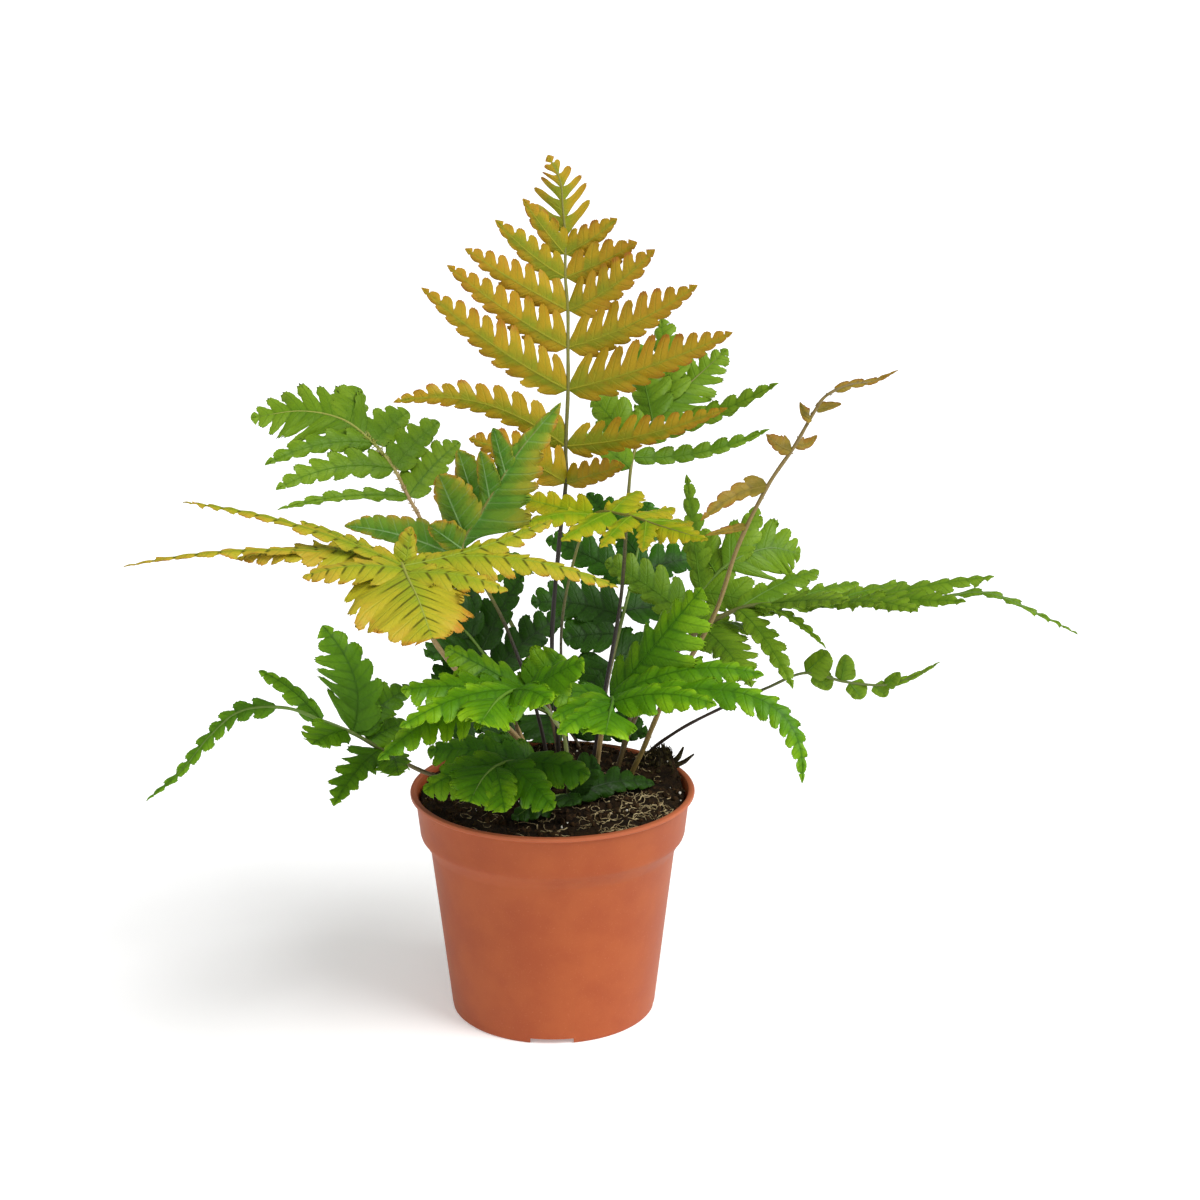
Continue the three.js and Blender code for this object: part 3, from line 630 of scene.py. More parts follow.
def leaf_rib(line, face, place, tip, rise):
    """A leaf's rib as a function of s, 0 at the frond's rib and 1 at the tip, and its length."""
    start, direction = line(place)
    end = np.array(tip, float)
    bend = np.array(rise, float) if isinstance(rise, (list, tuple)) else np.array([0, 0, rise], float)
    middle = (start + end) / 2 + 2 * bend
    wider_right = np.cross(end - start, face) @ direction > 0
    tilt = -LEAF_TILT if wider_right else LEAF_TILT

    def at(s):
        s = np.asarray(s, float)[..., None]
        point = (1 - s) ** 2 * start + 2 * s * (1 - s) * middle + s**2 * end
        along = unit(2 * (1 - s) * (middle - start) + 2 * s * (end - middle))
        return point, along, turned_normals(face, along, -tilt)

    steps = at(np.linspace(0, 1, 20))[0]
    length = np.linalg.norm(np.diff(steps, axis=0), axis=1).sum()
    halves = (NARROWER_HALF, WIDER_HALF) if wider_right else (WIDER_HALF, NARROWER_HALF)
    return at, length, halves


def fullness(s, ease):
    """Half the width along a leaf, as a share of its widest. A low ease makes a triangle of it, and
    a high one a tongue."""
    return np.minimum(0.9 + 1.6 * s, 1) * (1 - np.clip(s, 0, 1) ** ease) ** 0.85


def lobed_sheet(rib, length, width, halves, cut, rng, ease):
    """Points, faces and leaf coordinates of a lobed leaf with no thickness. The coordinates are
    the way out from a lobe's own vein, the way out from the rib, the way along the leaf, and a
    random tone for each lobe. Small leaves are cut less deeply than large ones."""
    lobes = int(np.clip(round(length / cut["spacing"]), 2, 11))
    shallow = np.clip((46 - length) / 40, 0, 0.8) if cut["joined"][0] > 0.2 else 0
    waves, phase = rng.uniform(1.2, 2.6), rng.uniform(0, 2 * math.pi)
    q = np.linspace(-1, 1, 9)
    round_end = 1 - np.sqrt(1 - np.minimum(q**2, 1) * 0.96)
    free = np.array([0, 0, 0, 0, 0.28, 0.54, 0.76, 0.91, 1])
    toothed = np.array([0, 0, 0, 0, 0, 1, 0, 0.8, 0])
    points, faces, marks = [], [], []
    first = 0
    edges = np.append(1 - (1 - np.arange(lobes + 1) / (lobes + 0.8)) ** 1.15, 1)
    for hand in (0, 1):
        half, sign = halves[hand], (-1, 1)[hand]
        narrower = 0 if half >= 1 else 1
        lean = math.radians(cut["lean"][narrower])
        joined = cut["joined"][narrower] + (1 - cut["joined"][narrower]) * shallow
        out = joined * np.array([0, 0.35, 0.7, 1, 1, 1, 1, 1, 1]) + (1 - joined) * free
        for k in range(lobes + 1):
            last = k == lobes
            tone = rng.uniform(0, 1)
            longer = 0 if last else rng.uniform(-0.1, 0.08)
            turn = 0 if last else rng.normal(0.5, 0.8) * cut["twist"]
            lift = 0 if last else rng.uniform(-0.12, 0.12)
            across = 1 - cut["slit"] * np.minimum(free * 3, 1)
            across = across - cut["taper"] * free**2 - cut["teeth"] * toothed
            if last:
                across = np.ones(9)
            middle, span = (edges[k] + edges[k + 1]) / 2, (edges[k + 1] - edges[k]) / 2
            s = middle + span * across[:, None] * q[None, :]
            corner = 0 if last else cut["corner"] * min(1, 1.6 * (1 - joined))
            reach = out[:, None] * (1 - corner * round_end[None, :] * free[:, None])
            reach = reach * (1 + longer * free[:, None])
            reach = reach * (1 - (np.arange(9) % 2)[None, :] * cut["teeth"] * (free[:, None] > 0.95) * 1.3)
            spot, along, normal = rib(s)
            side = np.cross(along, normal) * sign
            wide = width / 2 * half * fullness(s, ease)[..., None]
            far = wide * reach[..., None]
            open_part = free[:, None, None]
            droop = LEAF_FOLD * far - 0.06 * far * reach[..., None] + lift * far * open_part
            swell = (1 - np.abs(q) ** 1.5)[None, :, None]
            pleat = cut["pleat"] * swell * np.minimum(reach * 3, 1)[..., None]
            roll = turn * q[None, :, None] * span * length * open_part
            ripple = np.sin(2 * math.pi * waves * s + phase)[..., None]
            wave = 0.06 * wide * ripple * reach[..., None] ** 2
            ahead = far * (math.cos(lean) + 0.08 * open_part)
            sideways = far * side * math.sin(lean)
            here = spot + sideways + along * ahead + normal * (droop + pleat + roll + wave)
            points.append(here.reshape(-1, 3))
            mark = np.stack(np.broadcast_arrays(np.abs(q)[None, :], reach, s, np.array(tone)), axis=-1)
            marks.append(mark.reshape(-1, 4))
            for j in range(8):
                for i in range(8):
                    a = first + j * 9 + i
                    quad = (a, a + 1, a + 10, a + 9)
                    faces.append(quad[::-1] if hand else quad)
            first += 81
    return np.vstack(points), np.array(faces), np.vstack(marks)


def welded(points, faces, marks):
    """The same with points in one place made one. Faces that this makes thinner than a triangle
    are left out."""
    keys = np.round(points / 0.004).astype(np.int64)
    _, chosen, inverse = np.unique(keys, axis=0, return_index=True, return_inverse=True)
    faces = inverse.reshape(-1)[faces]
    kept = []
    for face in faces:
        ring = list(dict.fromkeys(face.tolist()))
        if len(ring) > 2:
            kept.append(tuple(ring))
    return points[chosen], kept, marks[chosen]


def thickened(points, faces, marks, thick):
    """A sheet given two faces and a rim."""
    normals = np.zeros_like(points)
    for face in faces:
        a, b, c = points[face[0]], points[face[1]], points[face[-1]]
        lean = np.cross(b - a, c - a)
        for k in face:
            normals[k] += lean
    normals /= np.maximum(np.linalg.norm(normals, axis=1), 1e-9)[:, None]
    edges = {}
    for face in faces:
        for a, b in zip(face, face[1:] + face[:1]):
            edges[(a, b)] = edges.get((a, b), 0) + 1
    n = len(points)
    rim = [(b, a, a + n, b + n) for a, b in edges if (b, a) not in edges]
    under = [tuple(k + n for k in reversed(face)) for face in faces]
    both = np.vstack([points + normals * thick / 2, points - normals * thick / 2])
    return both, list(faces) + under + rim, np.vstack([marks, marks])


class Growth:
    """The mesh of one frond while it is put together."""

    def __init__(self):
        self.points, self.faces, self.marks, self.tones, self.parts = [], [], [], [], []
        self.count = 0

    def add(self, points, faces, marks, tone, part):
        self.points.append(points)
        self.marks.append(marks[:, :3])
        self.tones.append(np.column_stack([marks[:, 3], np.broadcast_to(tone, (len(points), 2))]))
        self.faces += [tuple(self.count + k for k in face) for face in faces]
        self.parts += [part] * len(faces)
        self.count += len(points)

    def add_tube(self, points, radii, tone, part, sides=6):
        made, faces = tube(points, radii, sides)
        self.add(made, faces, np.zeros((len(made), 4)), tone, part)

    def piece(self, name, finishes):
        made = mesh_piece(name, np.vstack(self.points) * MM, self.faces)
        for label, values in (("leaf", self.marks), ("tone", self.tones)):
            attribute = made.data.attributes.new(label, "FLOAT_VECTOR", "POINT")
            attribute.data.foreach_set("vector", np.vstack(values).astype(np.float32).ravel())
        for finish in finishes:
            made.data.materials.append(finish)
        made.data.polygons.foreach_set("material_index", self.parts)
        made.data.set_sharp_from_angle(angle=math.radians(55))
        return made


def frond(
    node, path, face, stalk, tip, leaves, finishes, material_slot, seed, cut, end_cut, scales=(),
):
    """Grows a frond along its path, in the place of the CAD node of that name. leaves are rows of
    the place on the path, the leaf's tip, its width and the rise of its middle, in millimetres.
    scales are rows of the two places between which dry scales stand on the stalk, their number
    and the longest one."""
    rng = np.random.default_rng(seed)
    line = smooth_line(path)
    face = unit(np.array(face, float))
    last = len(path) - 1
    growth = Growth()
    for place, leaf_tip, width, rise in leaves:
        rib, length, halves = leaf_rib(line, face, place, leaf_tip, rise)
        tone = (rng.uniform(0, 1), place / last)
        sheet = welded(*lobed_sheet(rib, length, width, halves, cut, rng, cut["ease"]))
        growth.add(*thickened(*sheet, LEAF_THICK), tone, 0)
        steps = np.linspace(0, 0.96, 14)
        spots, _, normals = rib(steps)
        growth.add_tube(spots + normals * 0.05, np.linspace(0.4, 0.14, 14), tone, 0, sides=5)
    from_place, end_width, end_ease, left_share = (*tip, 1)[:4]

    def end_rib(s):
        point, along = line(from_place + (last - from_place) * np.asarray(s, float))
        return point, along, turned_normals(face, along, 0)

    end_length = np.linalg.norm(line(float(last))[0] - line(float(from_place))[0])
    sheet = lobed_sheet(end_rib, end_length, end_width, (left_share, 1), end_cut, rng, end_ease)
    growth.add(*thickened(*welded(*sheet), LEAF_THICK), (rng.uniform(0, 1), 0.95), 0)
    places = np.linspace(0, last - 0.15, 14 * last)
    radii = stalk + (STALK_END_RADIUS - stalk) * (places / last) ** 1.3
    radii[places > from_place] *= np.linspace(1, 0.35, (places > from_place).sum())
    wobble = 1 + 0.05 * np.sin(places * 9)
    growth.add_tube(line(places)[0], radii * wobble, (0.5, 0), 1, sides=8)
    growth.tones[-1][:, 2] = np.repeat(places / last, 8)
    for low, high, number, longest in scales:
        for place in rng.uniform(low, high, number):
            spot, along = line(place)
            out = unit(np.cross(along, rng.normal(0, 1, 3)))
            size = longest * rng.uniform(0.4, 1)
            bend = spot + out * size * 0.6 + along * size * rng.uniform(0, 0.5)
            end = bend + out * size * rng.uniform(0, 0.4) + along * size * rng.uniform(-0.3, 0.8)
            growth.add_tube([spot, bend, end], (0.32, 0.26, 0.08), (0.5, place / last), 1, sides=3)
    made = growth.piece(node.replace("frond", "fern"), finishes)
    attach(made, "root")
    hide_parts(node)
    return made


def leaf_finish(name, near_rib, middle, edge, margin, vein, through, shade_and_blotch, slot_shade=0.4):
    """A leaf's finish: colours from the rib out to the margin, veins, a darker colour painted on
    leaves near the crown, which is painted shade of the crowded middle and partly the darker green
    of older leaves, the soft sheen of a thin waxy skin, and light that comes through. The last
    argument is how dark the painted shade in the gaps between lobes is, next to the rib. The same
    dark colour, by a fine noise, also gives the leaves random blotches."""
    material, shader, place = new_finish(name)
    tree = material.node_tree
    leaf = place.node("Attribute", {"attribute_name": "leaf"}, output="Vector")
    tone = place.node("Attribute", {"attribute_name": "tone"}, output="Vector")
    across, out, along = [place.node("SeparateXYZ", inputs={0: leaf}, output=k) for k in range(3)]
    lobe_tone, leaf_tone, _ = [place.node("SeparateXYZ", inputs={0: tone}, output=k) for k in range(3)]
    height = place.node("SeparateXYZ", inputs={0: place}, output="Z")
    flat = place.node("VectorMath", {"operation": "MULTIPLY"}, {0: place, 1: (1, 1, 0)})
    from_axis = flat.node("VectorMath", {"operation": "LENGTH"}, {0: flat}, output="Value")
    cloud = place.noise(150, 3, 0.6)
    fine = place.noise(900, 3, 0.6)
    outward = out * 0.55 + along * 0.3 + (cloud - 0.5) * 0.5
    outward = outward + (lobe_tone - 0.5) * 0.35 + (leaf_tone - 0.5) * 0.3
    base = outward.ramp(0.05, 0.4).mix(colour(near_rib), colour(middle))
    base = outward.ramp(0.38, 0.72).mix(base, colour(edge))
    base = ((out + (cloud - 0.5) * 0.5).ramp(0.78, 1.02) * along.ramp(0.1, 0.6)).mix(base, colour(margin))
    slant = out * 30 - across * 9
    side_veins = slant.maths("SINE", slant).ramp(0.7, 1.0)
    lobe_vein = 1 - across.ramp(0.02, 0.16)
    rib_vein = 1 - out.ramp(0.0, 0.09)
    veins = (lobe_vein * 0.34 + side_veins * 0.07 + rib_vein * 0.85).clamped()
    base = veins.mix(base, colour(vein))
    # Painted shade: the gaps between lobes, next to the rib, are darkened towards the dark colour.
    slot_shade_mask = across.ramp(0.72, 1.0) * (1 - out.ramp(0.25, 0.6))
    # Painted shade: leaves near the crown and low in the plant are darkened, partly also for the darker
    # green of older leaves there.
    crown_shade = (1 - from_axis.ramp(0.03, 0.1)) * (1 - height.ramp(0.15, 0.23))
    base = (slot_shade_mask * slot_shade + crown_shade * 0.75 + (fine - 0.5) * 0.5).clamped().mix(base, colour(shade_and_blotch))
    height = side_veins * -0.3 - lobe_vein * 0.6 + fine * 0.35
    bump = place.bump(height, 0.6, 0.0004)
    shader.inputs["Specular IOR Level"].default_value = 0.22
    place.fill(shader, {"Base Color": base, "Roughness": fine * 0.2 + 0.36, "Normal": bump})
    light = place.node("BsdfTranslucent", inputs={"Color": colour(through)})
    shown = place.node("MixShader", inputs={0: 0.26, 1: Shade(tree, shader.outputs[0]), 2: light})
    tree.links.new(shown.socket, tree.nodes["Material Output"].inputs["Surface"])
    return material


def stalk_finish(name, low, high, start=0.25, end=0.6):
    """A stalk's finish, from its colour at the soil to its colour among the leaves."""
    material, shader, place = new_finish(name)
    tone = place.node("Attribute", {"attribute_name": "tone"}, output="Vector")
    height = place.node("SeparateXYZ", inputs={0: tone}, output=2)
    fine = place.noise(1200, 3, 0.6)
    base = (height + (fine - 0.5) * 0.2).ramp(start, end).mix(colour(low), colour(high))
    place.fill(shader, {
        "Base Color": ((fine - 0.3) * 0.5).clamped().mix(base, colour("2a1c10")),
        "Roughness": 0.5,
        "Normal": place.bump(fine, 0.4, 0.0003),
    })
    return material


copper_leaf = leaf_finish(
    "copper_leaf", "86931b", "b6991b", "b78d1d", "a1611e", "9f9f27", "c3950e", "867513",
)
copper_stalk = stalk_finish("dark_stalk", "1c130c", "7c7a30", 0.2, 0.5)
frond(
    "frond_copper_tall",
    [
        (4, 15, 82), (2, 7, 120), (0, 3, 160), (3, 3, 201), (6, 6, 228), (6, 8, 243), (7, 10, 266),
        (7, 12, 283), (7, 14, 298), (6, 16, 311), (6, 18, 320), (6, 19, 327), (5, 21, 339),
        (4, 23, 349), (-1, 25, 359),
    ],
    face=(0.05, -1, 0.2), stalk=1.05, tip=(11, 34, 1.1),
    leaves=[
        (4, (-32, -24, 253), 22, 2), (4, (30, -14, 240), 15, 0), (5, (-63, -6, 264), 19, 9),
        (5, (71, -12, 263), 18, -3), (6, (-51, -4, 310), 23, -3), (6, (73, -4, 292), 25, -2),
        (7, (-41, 2, 318), 21, -2), (7, (59, 2, 310), 24, -3), (8, (-34, 6, 324), 19, -1),
        (8, (42, 4, 324), 22, -3), (9, (-22, 10, 335), 16, -2), (9, (35, 10, 326), 18, -1),
        (10, (-11, 14, 343), 13, -1), (10, (27, 14, 335), 14, -1),
    ],
    finishes=(copper_leaf, copper_stalk),
    material_slot="leaf_copper",
    seed=1,
    scales=[(0.3, 4, 40, 1.4)],
    cut=COPPER_LOBES,
    end_cut=COPPER_END,
)

# Amber fronds. Half grown: yellow-green along the ribs and amber to orange at the edges. One arches
# over the front left with its two lowest leaves far out to the side, one stands in front of the
# copper frond, and a small one opens in the middle.

AMBER_LOBES = {
    "lean": (58, 54), "joined": (0.48, 0.6), "slit": 0.13, "taper": 0.16, "corner": 0.34, "teeth": 0.08,
    "pleat": 0.45, "twist": 0.2, "spacing": 8, "ease": 2.1,
}
AMBER_END = AMBER_LOBES | {"lean": (56, 56), "joined": (0.34, 0.34), "slit": 0.17, "spacing": 7}
ARCHING_END = AMBER_END | {"joined": (0.8, 0.8), "slit": 0.1, "spacing": 8}
UPRIGHT_LOBES = AMBER_LOBES | {
    "joined": (0.8, 0.86), "slit": 0.06, "teeth": 0.12, "spacing": 6.5, "ease": 2.6,
}
UPRIGHT_END = UPRIGHT_LOBES | {"lean": (56, 56), "joined": (0.74, 0.74), "pleat": 0.8, "spacing": 9}
# The arching leaf has a strong painted shade in the gaps between its lobes.
arching_leaf = leaf_finish(
    "arching_leaf", "98a921", "b8b128", "c7ad33", "c48828", "93a72d", "c0b218", "5e6210", 1.3,
)
upright_leaf = leaf_finish(
    "upright_leaf", "4f8420", "6c9222", "a09c26", "c08c2c", "86ac66", "8ea00c", "46640c",
)
lime_leaf = leaf_finish(
    "lime_leaf", "719c0e", "a5ad15", "bcaf1d", "c7a92a", "8dab22", "a9af0b", "567608",
)
tan_stalk = stalk_finish("tan_stalk", "a08656", "9aa040", 0.5, 0.7)
amber = {"material_slot": "leaf_amber"}
frond(
    "frond_amber_arching",
    [
        (-5, 6, 82), (-9, -4, 112), (-22, -28, 139), (-38, -50, 167), (-46, -60, 183), (-54, -70, 204),
        (-55, -80, 217), (-51, -100, 217), (-46, -116, 213), (-40, -134, 204),
    ],
    face=(0.1, -0.45, 1), stalk=1.25, tip=(6.2, 60, 3, 0.8),
    leaves=[
        (5.3, (-52, -66, 228), 13, 0), (5.9, (-97, -46, 225), 17, 1), (6, (-162, -70, 213), 8, 6),
        (6, (-119, -70, 216), 24, 5), (6, (27, -78, 207), 24, 7), (6.4, (-142, -48, 233), 8, 4),
        (6.4, (2, -60, 229), 20, -2), (6.6, (-90, -100, 217), 24, 3), (6.8, (-14, -100, 212), 21, 3),
    ],
    finishes=(arching_leaf, tan_stalk),
    cut=AMBER_LOBES,
    end_cut=ARCHING_END,
    seed=2,
    scales=[(0.3, 5, 80, 2)],
    **amber,
)
frond(
    "frond_amber_upright",
    [
        (2, 2, 82), (-5, -10, 130), (-16, -28, 172), (-24, -37, 193), (-34, -43, 213), (-26, -46, 229),
        (-19, -48, 241), (-10, -48, 255), (5, -45, 272),
    ],
    face=(-0.15, -1, 0.25), stalk=0.8, tip=(4, 42, 1.7, 0.4),
    leaves=[
        (3.7, (-81, -34, 220), 17, 3), (4, (-46, -56, 226), 14, 0), (4.3, (-42, -52, 245), 21, 0),
        (4.85, (-35, -44, 253), 16, 0), (5.45, (-26, -50, 254), 11, 0), (6.3, (-21, -50, 263), 10, 0),
    ],
    finishes=(upright_leaf, copper_stalk),
    cut=UPRIGHT_LOBES,
    end_cut=UPRIGHT_END,
    seed=3,
    **amber,
)
frond(
    "frond_lime_middle",
    [
        (9, 6, 82), (6, 0, 120), (4, -8, 166), (9, -14, 199), (17, -21, 221), (30, -36, 225),
        (42, -52, 225), (61, -72, 224),
    ],
    face=(0, -0.55, 1), stalk=0.7, tip=(5.8, 21, 1.4),
    leaves=[
        (4, (-16, 0, 224), 20, 0), (4, (-12, -46, 222), 17, 3), (4.6, (5, -58, 220), 17, 1),
        (4.6, (36, 4, 225), 17, 1), (5.2, (20, -72, 221), 14, 1), (5.2, (50, -8, 221), 15, 0),
        (5.7, (36, -82, 222), 12, 0), (5.6, (57, -28, 220), 13, 0),
    ],
    finishes=(lime_leaf, copper_stalk),
    cut=AMBER_LOBES,
    end_cut=AMBER_END,
    seed=4,
    **amber,
)

# Green fronds. Full grown, leathery and bright green above: they spread all round under the young
# ones and hang over the rim. Their leaves end in sharper, finely toothed lobes.

GREEN_LOBES = {
    "lean": (62, 58), "joined": (0.46, 0.58), "slit": 0.12, "taper": 0.12, "corner": 0.3, "teeth": 0.1,
    "pleat": 0.7, "twist": 0.24, "spacing": 9, "ease": 2.8,
}
GREEN_END = GREEN_LOBES | {"lean": (56, 56), "joined": (0.38, 0.38), "slit": 0.15, "spacing": 7}
front_leaf = leaf_finish(
    "front_leaf", "477e04", "5b9206", "7eaf0d", "93c015", "427404", "588f03", "224e02",
)
outer_leaf = leaf_finish(
    "outer_leaf", "608814", "729719", "7fa222", "8bab29", "5a8316", "75940b", "395b06",
)
low_leaf = leaf_finish("low_leaf", "4b7b07", "5e910b", "76a813", "8bb81a", "406d07", "5e8905", "2b4d04")
green_stalk = stalk_finish("green_stalk", "5b4a28", "5f8024", 0.2, 0.6)
light_stalk = stalk_finish("light_stalk", "8f9a5c", "5c861c", 0.3, 0.5)
front_stalk = stalk_finish("front_stalk", "a08656", "4f7e18", 0.3, 0.5)
green = {"material_slot": "leaf_green", "cut": GREEN_LOBES, "end_cut": GREEN_END}
outer = green | {"finishes": (outer_leaf, green_stalk)}
frond(
    "frond_green_behind",
    [
        (14, 25, 82), (22, 30, 130), (29, 36, 171), (32, 44, 213), (34, 50, 229), (38, 56, 236),
        (47, 68, 246), (60, 80, 256), (76, 92, 268),
    ],
    face=(-0.2, -0.8, 0.6), stalk=0.95, tip=(5.6, 42, 1.6),
    leaves=[
        (3.6, (13, 34, 240), 15, 2), (4, (93, 60, 239), 10, -4), (4.4, (17, 62, 252), 24, 1),
        (5, (95, 40, 263), 13, -2), (5.6, (36, 92, 270), 22, 0), (6.2, (47, 100, 280), 22, 0),
    ],
    finishes=(outer_leaf, copper_stalk),
    seed=5,
    **green,
)
frond(
    "frond_green_high_left",
    [
        (-4, 19, 82), (-13, 19, 112), (-30, 20, 148), (-46, 18, 184), (-54, 20, 207), (-60, 23, 218),
        (-66, 27, 229), (-75, 32, 239), (-88, 37, 248), (-106, 40, 251), (-127, 40, 248),
    ],
    face=(0.25, -0.7, 0.75), stalk=1.05, tip=(7.3, 46, 1.9),
    leaves=[
        (5, (-112, 0, 218), 7, 3), (5, (-40, 56, 234), 19, 2), (6, (-113, 6, 225), 17, 5),
        (6, (-49, 60, 242), 18, 2), (7, (-118, 12, 234), 13, 4), (7, (-62, 58, 247), 20, 1),
        (7.8, (-83, 56, 258), 20, 0),
    ],
    finishes=(outer_leaf, tan_stalk),
    seed=6,
    scales=[(2, 7.4, 150, 2.4), (6.5, 7.3, 50, 4)],
    **green,
)
frond(
    "frond_green_reaching",
    [
        (23, 18, 82), (33, 17, 118), (46, 17, 143), (60, 17, 160), (78, 17, 171), (96, 15, 174),
        (114, 12, 175), (134, 6, 179), (151, 2, 179), (178, -4, 184), (200, -8, 176), (216, -10, 168),
    ],
    face=(0, -0.5, 1), stalk=1.15, tip=(8.6, 6, 1.2),
    leaves=[
        (3.2, (81, -34, 153), 22, 3), (3.4, (97, 58, 149), 18, 1), (4, (98, -30, 151), 14, 4),
        (4, (114, 46, 180), 20, 2), (4.7, (120, -30, 188), 17, 1), (4.4, (111, -30, 168), 6, 4),
        (5, (131, 40, 176), 17, 1), (5.6, (134, -24, 185), 15, 1), (6, (150, 26, 180), 15, 1),
        (6.7, (149, -18, 180), 13, 1), (6.8, (184, 10, 187), 15, 1), (7.1, (169, -14, 183), 12, 0),
    ],
    seed=7,
    **outer,
)
frond(
    "frond_green_upper_right",
    [
        (25, 26, 82), (34, 30, 122), (47, 36, 150), (62, 44, 169), (76, 47, 183), (93, 53, 188),
        (107, 58, 184),
    ],
    face=(-0.1, -0.9, 0.55), stalk=1.0, tip=(3.8, 41, 2),
    leaves=[
        (2.6, (22, 44, 184), 22, 2), (2.6, (80, 25, 148), 20, 1), (3.1, (57, 52, 221), 13, 0),
        (3.1, (92, 34, 165), 22, 2), (3.6, (56, 74, 190), 20, 2), (4, (88, 64, 204), 15, 0),
    ],
    seed=8,
    **outer,
)
frond(
    "frond_green_front_right",
    [
        (16, 4, 82), (19, -6, 112), (21, -27, 133), (24, -50, 153), (25, -72, 160), (24, -90, 162),
        (22, -106, 158),
    ],
    face=(0, -0.75, 0.9), stalk=1.15, tip=(5, 30, 1.6),
    leaves=[
        (3, (60, -50, 199), 35, 0), (3.1, (-2, -64, 160), 20, 2), (3.3, (84, -62, 167), 22, 7),
        (3.8, (97, -94, 134), 17, (20, 0, 17)), (3.9, (2, -88, 158), 19, 2),
        (4.3, (64, -96, 166), 19, 4), (4.5, (4, -106, 158), 16, 2),
    ],
    finishes=(front_leaf, front_stalk),
    seed=9,
    scales=[(0.3, 3, 40, 1.6)],
    **green,
)
frond(
    "frond_green_front_left",
    [
        (7, -3, 82), (6, -22, 124), (2, -46, 143), (-4, -66, 158), (-11, -86, 169),
        (-18, -104, 171), (-24, -120, 167),
    ],
    face=(0, -0.7, 0.9), stalk=0.95, tip=(4.9, 30, 1.6),
    leaves=[
        (3, (-40, -64, 179), 26, 1), (3.1, (4, -62, 176), 24, 0), (3.2, (-56, -84, 168), 29, 3),
        (3.4, (-63, -110, 149), 26, 8), (3.6, (14, -84, 180), 22, 1), (4.2, (-54, -116, 164), 20, 4),
        (4.3, (2, -110, 172), 20, 2),
    ],
    finishes=(front_leaf, light_stalk),
    seed=10,
    **green,
)
frond(
    "frond_green_over_rim",
    [
        (0, -9, 82), (-2, -17, 105), (-8, -35, 120), (-17, -50, 127), (-25, -62, 126),
        (-31, -74, 119),
    ],
    face=(-0.2, -0.75, 0.8), stalk=0.9, tip=(3.5, 34, 1.8),
    leaves=[
        (2.2, (-50, -34, 126), 27, 3), (1.8, (-30, -30, 130), 20, 3), (2.4, (16, -50, 121), 22, 2),
        (3, (-50, -60, 118), 26, 3), (3.1, (2, -74, 116), 22, 2), (3.5, (-17, -80, 117), 20, 1),
    ],
    finishes=(front_leaf, green_stalk),
    seed=11,
    **green,
)
frond(
    "frond_green_low_left",
    [
        (-14, 3, 82), (-25, -12, 101), (-41, -26, 110), (-54, -34, 118), (-67, -40, 128),
        (-79, -44, 137), (-91, -46, 143), (-105, -48, 149), (-122, -52, 149), (-134, -55, 140),
        (-146, -58, 126), (-160, -60, 114),
    ],
    face=(-0.1, -0.8, 0.8), stalk=1.0, tip=(7.2, 13, 1.3),
    leaves=[
        (4.1, (-83, -84, 121), 18, 3), (3.8, (-59, -66, 127), 19, 2), (4.9, (-57, -20, 148), 20, 3),
        (4.5, (-59, -22, 134), 17, 1), (5, (-91, -34, 179), 30, (7, 0, 0)),
        (5.2, (-92, -72, 142), 20, 1), (6, (-118, -28, 158), 10, 3),
    ],
    finishes=(low_leaf, green_stalk),
    seed=12,
    **green,
)
frond(
    "frond_green_back_left",
    [
        (3, 24, 82), (0, 24, 118), (-14, 48, 146), (-31, 80, 166), (-44, 106, 174), (-56, 130, 172),
        (-66, 150, 162),
    ],
    face=(0.1, 0.5, 1), stalk=1.1, tip=(4.5, 30, 1.5),
    leaves=[
        (3, (-72, 62, 164), 20, 5), (3, (14, 92, 164), 20, 5), (3.7, (-84, 92, 164), 19, 4),
        (3.7, (-2, 122, 160), 19, 4),
    ],
    seed=13,
    **outer,
)
frond(
    "frond_green_back_right",
    [(27, 36, 82), (33, 47, 112), (44, 72, 134), (56, 100, 146), (68, 126, 146), (80, 148, 136)],
    face=(-0.1, 0.5, 1), stalk=1.1, tip=(3.6, 30, 1.5),
    leaves=[
        (2.2, (6, 92, 134), 19, 5), (2.2, (86, 66, 128), 19, 5), (2.9, (18, 120, 138), 18, 4),
        (2.9, (102, 92, 132), 18, 4),
    ],
    seed=14,
    **outer,
)

# Shaded fronds. In the middle of the plant behind the bright ones. Their leaves are painted a
# darker green for the shade they stand in, and partly for the darker colour of older leaves.

# Painted shade: the green leaf finish in darker colours.
shade_leaf = leaf_finish(
    "shade_leaf", "2a5808", "366a0a", "46800f", "548e18", "244c06", "3c6c06", "1a3604",
)
shade = {
    "finishes": (shade_leaf, green_stalk), "material_slot": "leaf_shade",
    "cut": GREEN_LOBES, "end_cut": GREEN_END,
}
frond(
    "frond_shade_behind",
    [(18, 32, 82), (22, 39, 124), (28, 50, 150), (34, 66, 170), (38, 84, 185), (42, 104, 196)],
    face=(0, -0.8, 0.6), stalk=1.0, tip=(3.8, 32, 1.6),
    leaves=[
        (1.5, (15, 40, 127), 20, 2), (2, (4, 46, 149), 24, 1), (1.6, (48, 56, 135), 22, 3),
        (2.3, (-10, 50, 164), 26, 3), (2.4, (64, 70, 152), 22, 3), (3, (-4, 74, 186), 22, 2),
        (3.1, (72, 92, 172), 20, 3), (3.6, (14, 104, 200), 18, 1),
    ],
    seed=15,
    **shade,
)
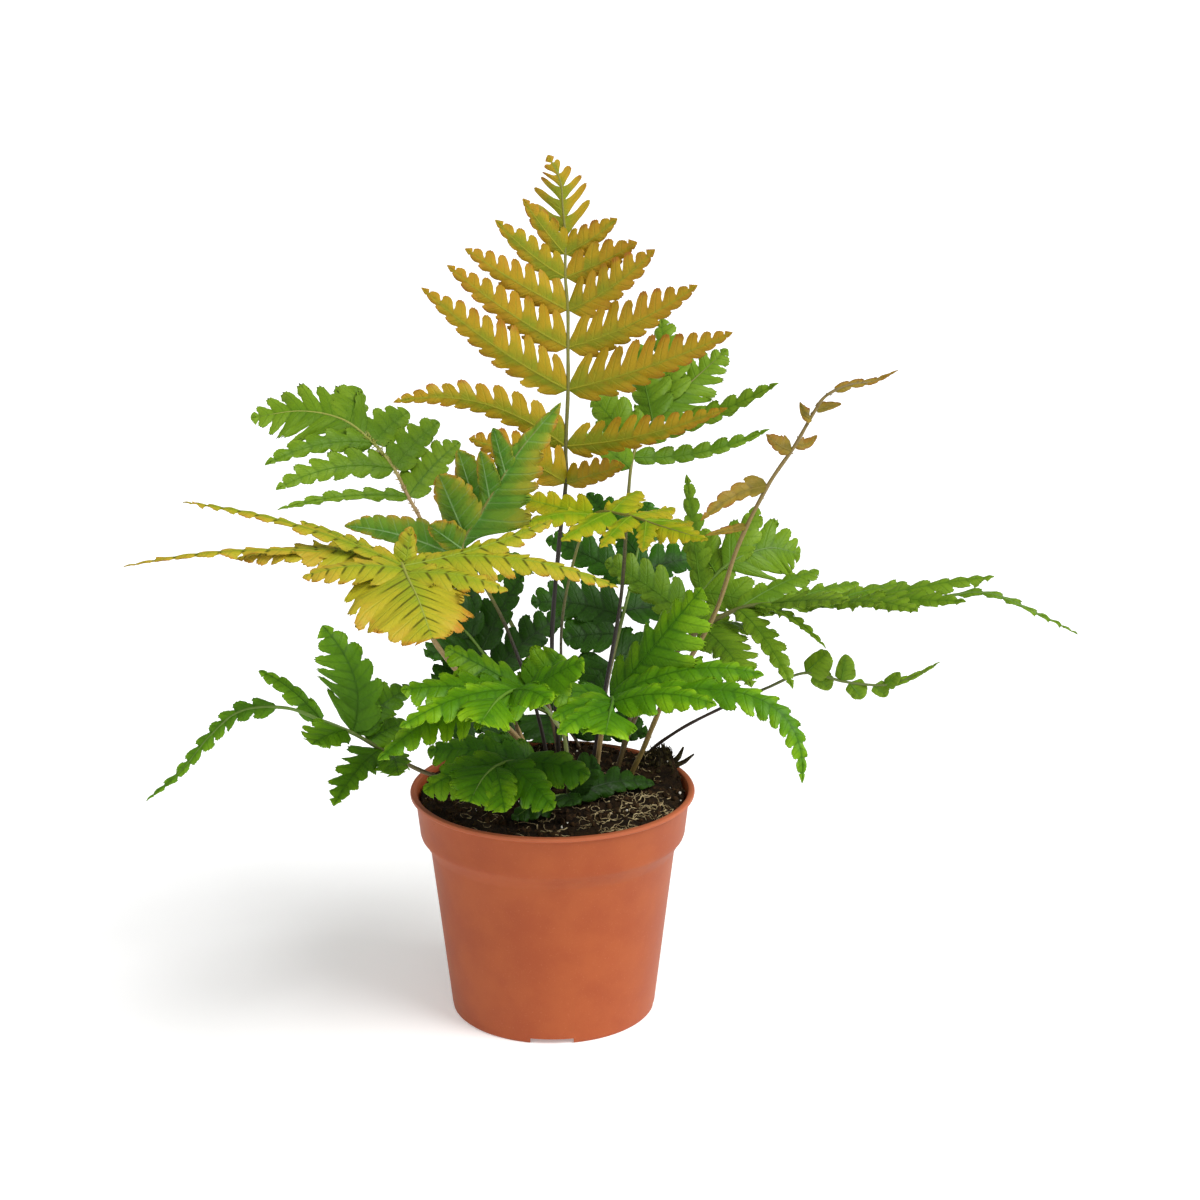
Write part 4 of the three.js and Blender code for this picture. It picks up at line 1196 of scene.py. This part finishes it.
frond(
    "frond_shade_left",
    [
        (-10, 12, 82), (-14, 3, 118), (-20, -5, 144), (-28, -11, 160), (-36, -15, 172),
        (-45, -19, 180),
    ],
    face=(-0.1, -0.8, 0.7), stalk=0.95, tip=(3.6, 30, 1.6),
    leaves=[
        (2.3, (-48, -24, 152), 20, 3), (2.4, (6, 18, 168), 20, 3), (2.9, (-50, -34, 166), 19, 3),
        (3.1, (-12, 10, 188), 18, 2), (3.6, (-34, 8, 196), 16, 1),
    ],
    seed=16,
    **shade,
)
frond(
    "frond_shade_low",
    [(13, 44, 82), (10, 50, 100), (-2, 53, 112), (-18, 53, 118), (-34, 49, 119), (-48, 43, 117)],
    face=(0, -0.8, 0.7), stalk=0.85, tip=(3.8, 24, 1.6),
    leaves=[
        (1.4, (41, 48, 104), 22, 3), (1.7, (20, 62, 115), 22, 2), (2.1, (-1, 64, 118), 20, 2),
        (2, (-3, 30, 107), 30, 3), (2.7, (-24, 62, 118), 21, 2), (2.9, (-24, 28, 107), 26, 3),
        (3.4, (-44, 56, 118), 19, 2), (3.5, (-41, 26, 109), 24, 3),
    ],
    seed=19,
    **shade,
)
frond(
    "frond_shade_over_soil",
    [(13, -10, 82), (11, -17, 98), (4, -24, 103), (-6, -31, 102), (-16, -36, 97)],
    face=(0, -0.6, 1), stalk=0.75, tip=(2.3, 18, 1.6),
    leaves=[
        (1.4, (19, -18, 115), 17, 2), (1.3, (43, 2, 98), 17, 4), (1.8, (9, -36, 103), 15, 2),
    ],
    seed=20,
    **shade,
)

# Sprig. A thin new shoot that leans out to the right, bare but for a few small rounded leaflets.

SPRIG_LEAFLETS = GREEN_LOBES | {
    "lean": (70, 70), "joined": (0.85, 0.85), "pleat": 0.3, "teeth": 0.05, "spacing": 5,
}
sprig_stalk = stalk_finish("sprig_stalk", "2c1c10", "5f6f2c", 0.3, 0.6)
frond(
    "frond_sprig_right",
    [
        (32, 28, 82), (39, 27, 101), (53, 22, 115), (72, 18, 127), (90, 8, 139), (106, 4, 147),
        (122, -2, 145), (138, -6, 145), (150, -9, 150), (160, -12, 157),
    ],
    face=(-0.2, -1, 0.6), stalk=0.8, tip=(7.2, 4, 1.3),
    leaves=[
        (5, (115, 2, 157), 13, 0), (5.2, (116, 0, 141), 9, 0), (5.9, (122, -2, 157), 9, 0),
        (6.1, (129, -6, 139), 9, 0), (6.7, (139, -6, 140), 7, 0), (7, (144, -8, 151), 6, 0),
    ],
    finishes=(outer_leaf, sprig_stalk),
    material_slot="leaf_green",
    seed=17,
    cut=SPRIG_LEAFLETS,
    end_cut=GREEN_END,
)

# Dry frond. Last year's: a straw-coloured stalk that leans far out to the right, bare but for a few
# shrunken, curled leaves the colour of bronze.

dry_leaf = leaf_finish("dry_leaf", "7c7020", "9c8428", "a07824", "965c24", "8a7a30", "a07c14", "6c5418")
dry_stalk = stalk_finish("straw_stalk", "8c7640", "786632", 0.4, 0.8)
frond(
    "frond_straw_stem",
    [
        (30, 15, 82), (33, 12, 98), (38, 6, 112), (43, -2, 128), (48, -10, 143), (58, -22, 164),
        (67, -27, 184), (75, -30, 211), (86, -33, 236), (96, -34, 252), (103, -34, 265),
        (108, -33, 272), (117, -31, 276), (127, -28, 277), (137, -26, 281),
    ],
    face=(-0.2, -1, 0.3), stalk=1.25, tip=(11.4, 5, 1.3),
    leaves=[
        (8, (59, -50, 226), 10, 3), (7.3, (61, -45, 219), 4, 0), (8.9, (84, -48, 260), 9, -1),
        (9.1, (106, -22, 254), 6, -2), (9.9, (97, -44, 272), 6, -2), (10.2, (115, -24, 267), 5, 0),
    ],
    finishes=(dry_leaf, dry_stalk),
    material_slot="stem_straw",
    seed=18,
    scales=[(0.3, 13, 130, 1.6)],
    cut=AMBER_LOBES,
    end_cut=AMBER_END,
)
